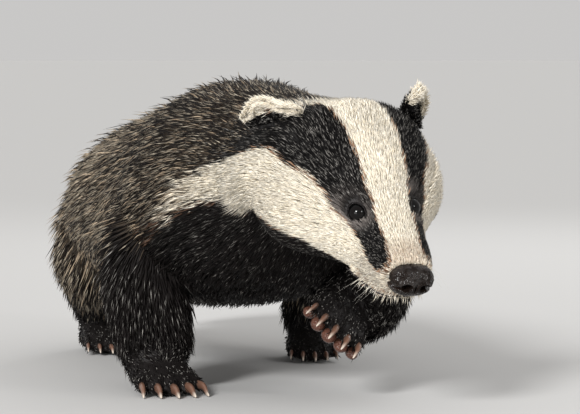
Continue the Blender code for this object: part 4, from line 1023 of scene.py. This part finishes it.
def muzzleCoat():
    # short fur up to the nose, on the lips and under the chin, with bristles that stand out from the lips
    draw = np.random.default_rng(233)
    right, forward, up = toHead(skinCentres)
    lipPath = lipLine(80)
    near = np.linalg.norm(skinCentres - inHead(0, 125, -12), axis=1) < 45
    gap = np.full(len(skinCentres), 99.0)
    gap[near] = np.linalg.norm(skinCentres[near][:, None] - lipPath[None], axis=2).min(1)
    bristly = (gap < np.interp(forward, (104, 116), (3.5, 7.5))) | ((forward > 134) & near)
    bristly &= forward < 144.5
    roots, normal = skinSamples(lipFur["tufts"], bristly.astype(float), draw)
    right, forward, up = toHead(roots)
    line = np.linalg.norm(roots[:, None] - lipPath[None], axis=2).min(1)
    keep = ~((line < 2.9) & (np.abs((normal * headUp).sum(1)) < 0.22) & (forward < 138))
    roots, normal, right, forward, up = (v[keep] for v in (roots, normal, right, forward, up))
    count = len(roots)
    way = -headForward * 0.9 + headRight * np.sign(right)[:, None] * 0.15 - headUp * 0.24
    way = unit(way - normal * (way * normal).sum(1, keepdims=True) * 0.95)
    way = unit(way + draw.normal(0, 0.16, (count, 3)))
    length = lipFur["length"] * draw.uniform(0.6, 1.2, count)
    width = lipFur["width"] * draw.uniform(0.8, 1.3, count)
    tinted = draw.uniform(size=count)
    kind = np.where(tinted < 0.86, 0, np.where(tinted < 0.95, 3, 4))
    uv = np.stack([0.5 + right / 80, 0.5 + up / 60], -1)
    dusky = smooth(108.0, 122.0, forward) * smooth(2.0, -9.0, up) * draw.uniform(0.0, 1.0, count) ** 1.3
    depth = draw.uniform(0.3, 1.1, count)
    shortTufts("coat_muzzle", roots, normal, way, length, width, depth, kind, uv, draw, sink=0.4, floor=False,
               dusky=dusky * (kind != 3))
    pick = draw.permutation(np.flatnonzero((up < -10) & (forward > 120)))[:lipFur["bristles"]]
    way = unit(normal[pick] * 0.75 - headUp * 0.8 + headForward * draw.uniform(-0.5, 0.35, (len(pick), 1)))
    length = draw.uniform(*lipFur["bristle"], len(pick))
    shortTufts("coat_bristles", roots[pick], normal[pick], way, length, np.full(len(pick), 0.42),
               np.full(len(pick), 0.4), np.zeros(len(pick), int), uv[pick], draw, sink=0.4, floor=False)


# Materials
def nodeGroup(name, inputs, outputs):
    group = bpy.data.node_groups.new(name, "ShaderNodeTree")
    for label, kind, value in inputs:
        socket = group.interface.new_socket(label, in_out="INPUT", socket_type=kind)
        if value is not None:
            socket.default_value = value
    for label, kind in outputs:
        group.interface.new_socket(label, in_out="OUTPUT", socket_type=kind)
    return group, group.nodes.new("NodeGroupInput").outputs, group.nodes.new("NodeGroupOutput").inputs


def addNode(tree, kind, inputs=(), **settings):
    # a node with its settings; each input is given a value, or the socket that feeds it
    node = tree.nodes.new("ShaderNode" + kind)
    for name, value in settings.items():
        setattr(node, name, value)
    for key, value in dict(inputs).items():
        if isinstance(value, bpy.types.NodeSocket):
            tree.links.new(value, node.inputs[key])
        else:
            node.inputs[key].default_value = value
    return node


def maths(tree, operation, *values):
    return addNode(tree, "Math", dict(enumerate(values)), operation=operation).outputs[0]


hair = dict(stretch=(9.0, 0.7, 61.0), patches=38.0, ragged=0.30, uneven=0.14, tipStart=0.72, tipFull=0.86,
            roughness=(0.42, 0.68))


def makeHairTone():
    # hair tone: the coat's own colour, with the tip's own near the end of each tuft, times fine streaks along
    # the tuft and soft patches over the body
    group, given, made = nodeGroup("hairTone", [
        ("Colour", "NodeSocketColor", None), ("Tip", "NodeSocketColor", None),
        ("Streaks", "NodeSocketFloat", 0.25), ("Patches", "NodeSocketFloat", 0.12)],
        [("Colour", "NodeSocketColor"), ("Height", "NodeSocketFloat"), ("Gloss", "NodeSocketFloat")])
    strand = addNode(group, "Attribute", attribute_name="strand").outputs["Vector"]
    stretched = addNode(group, "Mapping", {"Vector": strand, "Scale": hair["stretch"]}).outputs[0]
    fine = addNode(group, "TexNoise", {"Vector": stretched, "Scale": 1.0, "Detail": 1.0}).outputs[0]
    where = addNode(group, "TexCoord").outputs["Object"]
    broad = addNode(group, "TexNoise", {"Vector": where, "Scale": hair["patches"], "Detail": 2.0}).outputs[0]
    fineCentred = maths(group, "SUBTRACT", fine, 0.5)
    broadCentred = maths(group, "SUBTRACT", broad, 0.5)
    both = maths(group, "ADD", maths(group, "MULTIPLY", fineCentred, given["Streaks"]),
                 maths(group, "MULTIPLY", broadCentred, given["Patches"]))
    gain = maths(group, "MULTIPLY_ADD", both, 2.0, 1.0)
    strandParts = addNode(group, "SeparateXYZ", {0: strand}).outputs
    jagged = maths(group, "MULTIPLY_ADD", fineCentred, hair["ragged"], strandParts["Y"])
    varied = maths(group, "MULTIPLY_ADD", strandParts["Z"], hair["uneven"], jagged)
    atTip = addNode(group, "MapRange", {"Value": varied, "From Min": hair["tipStart"],
                                        "From Max": hair["tipFull"]}, interpolation_type="SMOOTHSTEP")
    tipped = addNode(group, "Mix", {0: atTip.outputs[0], "A": given["Colour"], "B": given["Tip"]},
                     data_type="RGBA")
    shaded = addNode(group, "VectorMath", {0: tipped.outputs["Result"], "Scale": gain}, operation="SCALE")
    gloss = addNode(group, "MapRange", {"Value": broad, "To Min": hair["roughness"][0],
                                        "To Max": hair["roughness"][1]})
    for label, socket in (("Colour", shaded.outputs[0]), ("Height", fine), ("Gloss", gloss.outputs[0])):
        group.links.new(socket, made[label])
    return group


pebble = dict(smoothness=0.2, grain=0.22, grainHeight=0.5, roughness=(0.16, 0.38), wet=(0.42, 0.58))


def makePebbles():
    # pebbles: rounded cells with a coarser grain over them, as on nose leather and toe pads, with a mask for
    # wet patches
    group, given, made = nodeGroup("pebbledSkin", [
        ("Scale", "NodeSocketFloat", 900.0), ("Dark", "NodeSocketColor", None),
        ("Light", "NodeSocketColor", None)],
        [("Colour", "NodeSocketColor"), ("Height", "NodeSocketFloat"), ("Roughness", "NodeSocketFloat"),
         ("Wet", "NodeSocketFloat")])
    where = addNode(group, "TexCoord").outputs["Object"]
    cells = addNode(group, "TexVoronoi", {"Vector": where, "Scale": given["Scale"],
                                          "Smoothness": pebble["smoothness"]}, feature="SMOOTH_F1")
    coarser = maths(group, "MULTIPLY", given["Scale"], pebble["grain"])
    grain = addNode(group, "TexNoise", {"Vector": where, "Scale": coarser}).outputs[0]
    tops = maths(group, "SUBTRACT", 1.0, cells.outputs["Distance"])
    height = maths(group, "MULTIPLY_ADD", grain, pebble["grainHeight"], tops)
    # the colour runs from Dark in the cracks between cells to Light on their tops, times the grain's random
    # tone: painted shade in the cracks and painted light on the tops
    blend = addNode(group, "Mix", {0: maths(group, "MULTIPLY", tops, grain), "A": given["Dark"],
                                   "B": given["Light"]}, data_type="RGBA")
    rough = addNode(group, "MapRange", {"Value": grain, "To Min": pebble["roughness"][0],
                                        "To Max": pebble["roughness"][1]})
    wet = addNode(group, "MapRange", {"Value": grain, "From Min": pebble["wet"][0],
                                      "From Max": pebble["wet"][1]})
    for label, socket in (("Colour", blend.outputs["Result"]), ("Height", height),
                          ("Roughness", rough.outputs[0]), ("Wet", wet.outputs[0])):
        group.links.new(socket, made[label])
    return group


def newMaterial(name, roughness=0.5, specular=0.5):
    made = bpy.data.materials.new(name)
    made.use_nodes = True
    shader = made.node_tree.nodes["Principled BSDF"].inputs
    shader["Roughness"].default_value = roughness
    shader["Specular IOR Level"].default_value = specular
    return made, made.node_tree, shader


def ownColour(tree, attribute="coatColour"):
    # the colour kept on the piece's own points
    return addNode(tree, "Attribute", attribute_name=attribute).outputs["Color"]


def bumpFrom(tree, shader, height, strength, distance):
    bump = addNode(tree, "Bump", {"Strength": strength, "Distance": distance, "Height": height})
    tree.links.new(bump.outputs[0], shader["Normal"])


hairTone = makeHairTone()
pebbledSkin = makePebbles()


def coatMaterial():
    made, tree, shader = newMaterial("badger coat", specular=0.12)
    tone = addNode(tree, "Group", {"Colour": ownColour(tree), "Tip": ownColour(tree, "tipColour"),
                                   "Streaks": 0.30, "Patches": 0.16}, node_tree=hairTone).outputs
    tree.links.new(tone["Colour"], shader["Base Color"])
    tree.links.new(tone["Gloss"], shader["Roughness"])
    bumpFrom(tree, shader, tone["Height"], 0.35, 0.0002)
    return made


def skinMaterial():
    # skin under the coat: its own marking colours, darker in the cracks between fine pebbles as painted shade
    # and lighter on their tops
    made, tree, shader = newMaterial("badger skin", roughness=0.6, specular=0.25)
    tone = addNode(tree, "Group", {"Scale": 700.0, "Dark": (0.72, 0.72, 0.72, 1),
                                   "Light": (1.1, 1.1, 1.1, 1)}, node_tree=pebbledSkin).outputs
    times = addNode(tree, "Mix", {0: 1.0, "A": ownColour(tree), "B": tone["Colour"]}, data_type="RGBA",
                    blend_type="MULTIPLY")
    tree.links.new(times.outputs["Result"], shader["Base Color"])
    bumpFrom(tree, shader, tone["Height"], 0.5, 0.0006)
    return made


def leatherMaterial(name, scale, dark, light, strength, wetness, depth=0.0008, specular=0.4):
    made, tree, shader = newMaterial(name, specular=specular)
    tone = addNode(tree, "Group", {"Scale": scale, "Dark": (*dark, 1), "Light": (*light, 1)},
                   node_tree=pebbledSkin).outputs
    tree.links.new(tone["Colour"], shader["Base Color"])
    tree.links.new(tone["Roughness"], shader["Roughness"])
    tree.links.new(maths(tree, "MULTIPLY", tone["Wet"], wetness), shader["Coat Weight"])
    shader["Coat Roughness"].default_value = 0.10
    bumpFrom(tree, shader, tone["Height"], strength, depth)
    return made


def attributeMaterial(name, roughness, specular, gloss=0.0, streaks=0.0):
    # a finish whose colour is kept on the piece's own points, under a clear gloss, with soft patches
    made, tree, shader = newMaterial(name, roughness, specular)
    colour = ownColour(tree)
    shader["Coat Weight"].default_value = gloss
    shader["Coat Roughness"].default_value = 0.03
    if streaks:
        tone = addNode(tree, "Group", {"Colour": colour, "Tip": colour, "Streaks": streaks},
                       node_tree=hairTone)
        colour = tone.outputs["Colour"]
    tree.links.new(colour, shader["Base Color"])
    return made


def plainMaterial(name, colour, roughness, specular):
    made, _, shader = newMaterial(name, roughness, specular)
    shader["Base Color"].default_value = (*colour, 1)
    return made


materials = {
    "coat": coatMaterial(),
    "skin": skinMaterial(),
    "nose": leatherMaterial("nose leather", 900.0, (0.003, 0.0020, 0.0016), (0.030, 0.0195, 0.015), 0.4, 0.75,
                            depth=0.0002, specular=0.10),
    "pads": leatherMaterial("toe pads", 900.0, (0.07, 0.028, 0.019), (0.21, 0.098, 0.066), 0.8, 0.08,
                            specular=0.3),
    "lids": leatherMaterial("eyelids", 1200.0, (0.003, 0.0025, 0.0025), (0.014, 0.011, 0.010), 0.5, 0.0,
                            specular=0.12),
    "eye": attributeMaterial("eyes", 0.04, 0.20),
    "claws": attributeMaterial("claws", 0.34, 0.5, gloss=0.2, streaks=0.25),
    "whiskers": attributeMaterial("whiskers", 0.4, 0.4, streaks=0.1),
    "mouth": plainMaterial("mouth line", (0.012, 0.008, 0.008), 0.5, 0.4),
}


# Skin colours
def paintSkin():
    points = pointsOf(skin)
    along, angle, _ = bodyAddress(points)
    white, dark, low = bodyMarks(along, angle, bodyPoint(along, angle, 0.3))
    grey = np.clip(1 - white - dark - low, 0, 1)
    under = (white[:, None] * tints["cream"] * 0.92 + dark[:, None] * tints["black"] * 1.5
             + low[:, None] * tints["legBlack"] + grey[:, None] * tints["buff"] * 0.30)
    under = mixed(under, tints["legBlack"], nearLimb(points))
    _, forward, up = toHead(points)
    under = mixed(under, tints["dusk"] * 0.8, 0.8 * white * smooth(108, 122, forward) * smooth(3, -7, up))
    behind = smooth(386, 410, points[:, 1])
    under = mixed(under, tints["buff"] * 0.55, behind)
    under = mixed(under, tints["bare"], bareSkin(points))
    for side in (1, -1):
        spread = np.linspace(0.0, 1, 14)
        grid = earPoint(side, spread[:, None], spread[None, :]).reshape(-1, 3)
        close = np.zeros(len(points), bool)
        near = np.linalg.norm(points - grid.mean(0), axis=1) < 40
        gaps = np.linalg.norm(points[near][:, None] - grid[None], axis=2)
        close[near] = gaps.min(1) < 3.4
        height = np.repeat(spread, 14)[gaps.argmin(1)][gaps.min(1) < 3.4]
        under[close] = mixed(tints["earCup"], tints["cream"] * 0.85, smooth(0.46, 0.60, height))
    setColour(skin, "coatColour", np.clip(under, 0.002, 1))


paintSkin()
finish(skin, materials["skin"])
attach(skin, "root")
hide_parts("head", "neck", "shoulders", "barrel", "rump", "tail", "foreleg_right", "foreleg_left",
            "forepaw_right", "forepaw_left", "hindleg_right", "hindleg_left", "hindpaw_right", "hindpaw_left",
            "ear_right", "ear_left")

print("coat")
skinCentres = np.empty(len(skin.data.polygons) * 3)
skin.data.polygons.foreach_get("center", skinCentres)
skinCentres = skinCentres.reshape(-1, 3) / mm - shift
trunkCoat()
legDraw = np.random.default_rng(34)
for name, key in (("foreleg_right", "foreRight"), ("foreleg_left", "foreLeft"),
                  ("hindleg_right", "hindRight"), ("hindleg_left", "hindLeft")):
    limbCoat("coat_" + name, key, legDraw)
brush()
earDraw = np.random.default_rng(89)
earCoat(1, "coat_ear_right", earDraw)
earCoat(-1, "coat_ear_left", earDraw)
muzzleCoat()
print("  all coat triangles", sum(triangleCounts))

print("eyes, nose and mouth")


def eyeBall(side, name, node):
    # a ball whose colour runs from the pupil over a dark brown iris to black, by the angle off its gaze
    along, upward, out = eyeAxes(side)
    rings, start, end = ovoidRings(eyeCentre(side), [eye["radius"]] * 3, (along, upward, out), 48, 36)
    obj = joined(name, [(rings, start, end)])
    points = pointsOf(obj)
    gaze = unit(out + headForward * 0.15)
    off = np.degrees(np.arccos(np.clip(unit(points - eyeCentre(side)) @ gaze, -1, 1)))
    iris = smooth(*eye["pupilEdge"], off) * smooth(*eye["irisEdge"][::-1], off)
    setColour(obj, "coatColour", mixed(tints["pupil"] * np.ones((len(points), 3)), tints["iris"], iris))
    finish(obj, materials["eye"])
    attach(obj, "root")
    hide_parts(node)


lid = dict(slit=7.1, height=5.9, lift=4.3, cornerDrop=1.1, upperLift=0.5, spread=0.12, thick=0.85)


def lids(side, name):
    # an almond ring: slit times cosine, height times sine, lifted off the eye most at its middle
    along, upward, out = eyeAxes(side)
    turn = np.linspace(0, 2 * np.pi, 56, endpoint=False)[:, None]
    section = np.linspace(0, 2 * np.pi, 14, endpoint=False)[None, :]
    wide = 1 + lid["spread"] * np.cos(section)
    slit = lid["slit"] * np.cos(turn)
    height = lid["height"] * np.sin(turn) * (1 - 0.2 * np.cos(turn) ** 2)
    lift = lid["lift"] - lid["cornerDrop"] * np.cos(turn) ** 2 + lid["upperLift"] * np.sin(turn)
    rings = (eyeCentre(side) + (slit * wide)[..., None] * along + (height * wide)[..., None] * upward
             + (lift + lid["thick"] * np.sin(section))[..., None] * out)
    obj = meshFrom(name, rings.reshape(-1, 3), ringFaces(56, 14, 0, closed=True))
    turnOut(obj)
    finish(obj, materials["lids"])
    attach(obj, "root")


for side, hand in ((1, "right"), (-1, "left")):
    eyeBall(side, "eyeball_" + hand, "eye_" + hand)
    lids(side, "lids_" + hand)

# the pad's rings give how far forward, half width and half height
nose = dict(rings=[(131.0, 11.5, 7.0), (134.0, 13.5, 8.0), (139.0, 16.0, 10.2), (144.0, 16.8, 10.8),
                   (148.5, 15.4, 9.6), (151.0, 11.5, 7.2)],
            square=0.8, nostril=(7.3, -1.4), nostrilSize=(4.2, 3.1), depth=7.0, slitDepth=3.2,
            grooveDepth=1.3, place=(-1.0, 0.0, -2.6), roll=8.0, slim=0.95, sides=260, lengths=50,
            pebbles=820, pebbleSize=1.12, pebbleHeight=0.46, pebbleTurn=2.39996)


def noseLean(right, ahead, up):
    # the pad's own points, slimmed, rolled and set in its place on the muzzle
    roll = np.radians(nose["roll"])
    right, up = right * nose["slim"], up * nose["slim"]
    return (right * np.cos(roll) - up * np.sin(roll) + nose["place"][0], ahead + nose["place"][1],
            right * np.sin(roll) + up * np.cos(roll) + nose["place"][2])


def noseLeather():
    # a pad swept forward over rings and closed by a dome; nostrils, their side slits and the middle groove
    # are pushed back by the smooth edge of each one's distance; pebbles stand in a spiral of ways from the
    # middle, and each swells by one less the square of the distance to it
    profile = curveThrough(nose["rings"], nose["lengths"])
    angle = np.linspace(0, 2 * np.pi, nose["sides"], endpoint=False)
    c, s = (np.sign(v) * np.abs(v) ** nose["square"] for v in (np.cos(angle), np.sin(angle)))
    front = profile[-1]
    shrink = np.cos(np.linspace(0, np.pi / 2, 46))[1:-1]
    swell = np.sin(np.linspace(0, np.pi / 2, 46))[1:-1]
    forward = np.concatenate([profile[:, 0], front[0] + swell * (head["noseReach"] - front[0] + 0.4)])
    wide = np.concatenate([profile[:, 1], front[1] * shrink])
    high = np.concatenate([profile[:, 2], front[2] * shrink])
    right = wide[:, None] * c[None]
    up = high[:, None] * s[None] - 0.8 * smooth(0, 0.3, -s)[None]
    ahead = forward[:, None] + 0 * right
    side = np.abs(right)
    nx, nz = nose["nostril"]
    near = np.hypot((side - nx) / nose["nostrilSize"][0], (up - nz) / nose["nostrilSize"][1])
    pit = smooth(1.05, 0.55, near) * smooth(143, 147, ahead) * nose["depth"]
    drop = -1.5 - 1.7 * np.sin(np.linspace(0, 1, 30) * np.pi * 0.8)
    slitPath = np.stack([np.linspace(9.5, 18.0, 30), drop], -1)
    gap = np.hypot(side[..., None] - slitPath[:, 0], up[..., None] - slitPath[:, 1]).min(-1)
    slit = smooth(1.6, 0.6, gap) * smooth(137, 140, ahead) * nose["slitDepth"]
    groove = smooth(0.9, 0.2, side) * smooth(2.5, 0.0, up) * smooth(140, 145, ahead) * nose["grooveDepth"]
    wings = 0.7 * smooth(2.0, 1.15, near) * smooth(1.0, 1.1, near) * smooth(143, 147, ahead)
    inward = np.stack([-np.sign(right) * 0.25 * slit, 0 * slit, 0.12 * slit], -1)
    pushed = ahead - np.maximum(pit, slit * 0.55) - groove + wings
    points = inHead(*noseLean(right + inward[..., 0] * 2, pushed, up + inward[..., 2]))
    middle = inHead(*noseLean(np.array(0.0), np.array(138.0), np.array(-1.0)))
    ways, away = unit(points - middle), np.linalg.norm(points - middle, axis=-1)
    spiral = np.arange(nose["pebbles"])
    level = 1 - (2 * spiral + 1) / nose["pebbles"]
    ring = np.sqrt(1 - level**2)
    turn = spiral * nose["pebbleTurn"]
    spots = np.stack([ring * np.cos(turn), ring * np.sin(turn), level], -1)
    spots = unit(spots + np.random.default_rng(5).normal(0, 0.018, spots.shape))
    nearest = np.concatenate([(part @ spots.T).max(1) for part in np.array_split(ways.reshape(-1, 3), 8)])
    gap = np.arccos(np.clip(nearest.reshape(away.shape), -1, 1)) * away
    swell = nose["pebbleHeight"] * np.clip(1 - (gap / nose["pebbleSize"]) ** 2, 0, 1)
    points = points + ways * (swell * smooth(0.8, 0.2, pit / nose["depth"]))[..., None]
    tip = head["noseReach"] + 0.3 - nose["grooveDepth"] * 0.4
    pole = inHead(*noseLean(np.array(0.0), np.array(tip), np.array(0.0)))
    return joined("nose_pad", [(points, None, pole)])


nosePad = noseLeather()
finish(nosePad, materials["nose"])
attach(nosePad, "root")
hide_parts("nose")


def mouthLine():
    # a thin dark cord pressed in between the lips, thinner towards the corners
    path = lipLine(70)
    outward = unit(path - inHead(0, 100, -13))
    path = path + outward * 1.55 + headUp * -0.3
    thin = 0.85 * np.sin(np.linspace(0.12, np.pi - 0.12, 70)) ** 0.4
    return joined("mouth_line", [(tubeRings(path, thin, thin * 0.8, 8, headUp), None, None)])


mouth = mouthLine()
finish(mouth, materials["mouth"])
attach(mouth, "root")

print("claws, pads and whiskers")


# thickness at the root, what each millimetre of length adds, how much is gone at the tip, and where the pale
# end starts and is full
claw = dict(thick=1.45, perLength=0.068, taper=0.84, taperPower=1.8, flat=0.85, deep=1.3, pale=(0.64, 0.98),
            clear=0.5)


def claws():
    # each claw: an oval section carried along a curve that bends down, tapering to a blunt point
    shells, colours = [], []
    for limb in limbs.values():
        _, _, palmWay = pawAxes(limb)
        for toe in toeLines(limb):
            path = curveThrough(toe["claw"], 22)
            spread = np.linspace(0, 1, 22)
            thick = (claw["thick"] + limb["claw"] * claw["perLength"]) * toe["size"]
            thick = thick * (1 - spread ** claw["taperPower"] * claw["taper"])
            if not limb["lifted"]:
                path[:, 2] = np.maximum(path[:, 2], thick * claw["deep"] + claw["clear"] - shift[2])
            shells.append((tubeRings(path, thick * claw["flat"], thick * claw["deep"], 16, -palmWay), None,
                           path[-1] + unit(path[-1] - path[-2]) * 0.5))
            pale = smooth(*claw["pale"], spread)
            horn = mixed(tints["clawRoot"] * np.ones((22, 3)), tints["clawTip"], pale)
            colours.append(np.concatenate([np.repeat(horn, 16, 0), horn[:1], horn[-1:]]))
    obj = joined("claws", shells)
    setColour(obj, "coatColour", np.concatenate(colours))
    return obj


def pads():
    # toe and sole pads of the lifted paw: squeezed balls that swell out of the skin on the palm side
    shells = []
    for limb in limbs.values():
        reach, across, palmWay = pawAxes(limb)
        wrist = np.array(limb["wrist"], float)
        for toe in toeLines(limb):
            if limb["lifted"]:
                place = toe["tip"] - toe["way"] * 1.8 + palmWay * 3.8
                shells.append(ovoidRings(place, np.array(pad["toe"]) * toe["size"],
                                         (across, toe["way"], palmWay)))
        if limb["lifted"]:
            middle = (wrist + reach * limb["length"] * pad["palmPlace"]
                      + palmWay * (limb["halfDepth"] * pad["palmDrop"] + 0.6))
            shells.append(ovoidRings(middle, pad["palm"], (across, reach, palmWay)))
    return joined("toe_pads", shells)


whisker = dict(perSide=9, length=(8, 22), thick=0.09)


def whiskers():
    # each whisker: a thin round section along a parabola that sweeps back and sags
    draw = np.random.default_rng(144)
    shells, colours = [], []
    for side in (1, -1):
        for _ in range(whisker["perSide"]):
            forward = draw.uniform(120, 138)
            angle = side * np.radians(draw.uniform(78, 124))
            along = np.interp(forward, [f for f, *_ in headRings], ringAlong[len(trunkRings):])
            root = bodyPoint(along, angle, 0.7)
            out = unit(root - bodyPoint(along, angle, 3.0))
            length = draw.uniform(*whisker["length"])
            t = np.linspace(0, 1, 9)[:, None]
            way = unit(out * 1.0 + headForward * draw.uniform(-0.3, 0.5) + headUp * draw.uniform(-1.0, 0.0))
            path = root + way * length * t + (np.array([0, 0, -5.0]) - headForward * 5.0) * t**2
            thick = whisker["thick"] * (1 - 0.85 * t[:, 0])
            shells.append((tubeRings(path, thick, thick, 5), None, None))
            tone = tints["paleWhisker"] if draw.uniform() < 0.7 else tints["darkWhisker"]
            colours.append(np.repeat(tone[None], 9 * 5 + 2, 0))
    obj = joined("whiskers", shells)
    setColour(obj, "coatColour", np.concatenate(colours))
    return obj


for obj, key, slot in ((claws(), "claws", "black_fur"), (pads(), "pads", "nose_leather"),
                       (whiskers(), "whiskers", "face_fur")):
    finish(obj, materials[key])
    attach(obj, "root")

# Stage: a wide pale floor, soft lights, and the camera at the animal's height
print("stage")
stage = dict(floorSize=240.0, floorColour=(0.585, 0.58, 0.57), world=(0.83, 0.82, 0.81, 1),
             worldStrength=0.70)


def studio():
    half = stage["floorSize"] / 2
    mesh = bpy.data.meshes.new("floor")
    corners = [(-half, -half, 0), (half, -half, 0), (half, half, 0), (-half, half, 0)]
    mesh.from_pydata(corners, [], [(0, 1, 2, 3)])
    floor = bpy.data.objects.new("floor", mesh)
    bpy.context.scene.collection.objects.link(floor)
    mesh.materials.append(plainMaterial("pale floor", stage["floorColour"], 0.7, 0.2))
    world = bpy.data.worlds.new("studio")
    bpy.context.scene.world = world
    world.use_nodes = True
    world.node_tree.nodes["Background"].inputs[0].default_value = stage["world"]
    world.node_tree.nodes["Background"].inputs[1].default_value = stage["worldStrength"]


def softLight(name, place, aim, size, power):
    data = bpy.data.lights.new(name, "AREA")
    data.shape = "DISK"
    data.size = size
    data.energy = power
    obj = bpy.data.objects.new(name, data)
    bpy.context.scene.collection.objects.link(obj)
    obj.location = place
    obj.rotation_euler = (Vector(aim) - Vector(place)).to_track_quat("-Z", "Y").to_euler()


def softSun(name, fromWay, spread, power):
    data = bpy.data.lights.new(name, "SUN")
    data.angle = math.radians(spread)
    data.energy = power
    obj = bpy.data.objects.new(name, data)
    bpy.context.scene.collection.objects.link(obj)
    obj.rotation_euler = Vector(fromWay).to_track_quat("Z", "Y").to_euler()


# lights are in metres and watts, the sun's spread in degrees
sun = dict(fromWay=(-0.60, -1.0, 0.52), spread=12, power=3.3)
softLights = dict(
    fill=dict(place=(1.3, -2.0, 0.9), aim=(0.02, -0.2, 0.12), size=0.4, power=11),
    front=dict(place=(-1.3, -2.1, 0.35), aim=(0.0, -0.2, 0.12), size=1.2, power=16),
    rim=dict(place=(0.9, 1.8, 1.5), aim=(0, 0, 0.15), size=1.0, power=8))
camera = dict(target=(4.3, -149.4, 138.7), back=(-0.156, -0.987, 0.044), distance=2415.0, lens=216.3)


def placeCamera():
    data = bpy.data.cameras.new("camera")
    data.lens = camera["lens"]
    data.sensor_width = 36.0
    data.clip_end = 400.0
    obj = bpy.data.objects.new("camera", data)
    bpy.context.scene.collection.objects.link(obj)
    back = unit(camera["back"])
    target = (np.array(camera["target"]) + shift) * mm
    obj.location = target + back * camera["distance"] * mm
    obj.rotation_euler = Vector(-back).to_track_quat("-Z", "Y").to_euler()
    bpy.context.scene.camera = obj


studio()
bpy.context.scene.view_settings.view_transform = "Standard"
softSun("key", **sun)
for name, values in softLights.items():
    softLight(name, **values)
placeCamera()
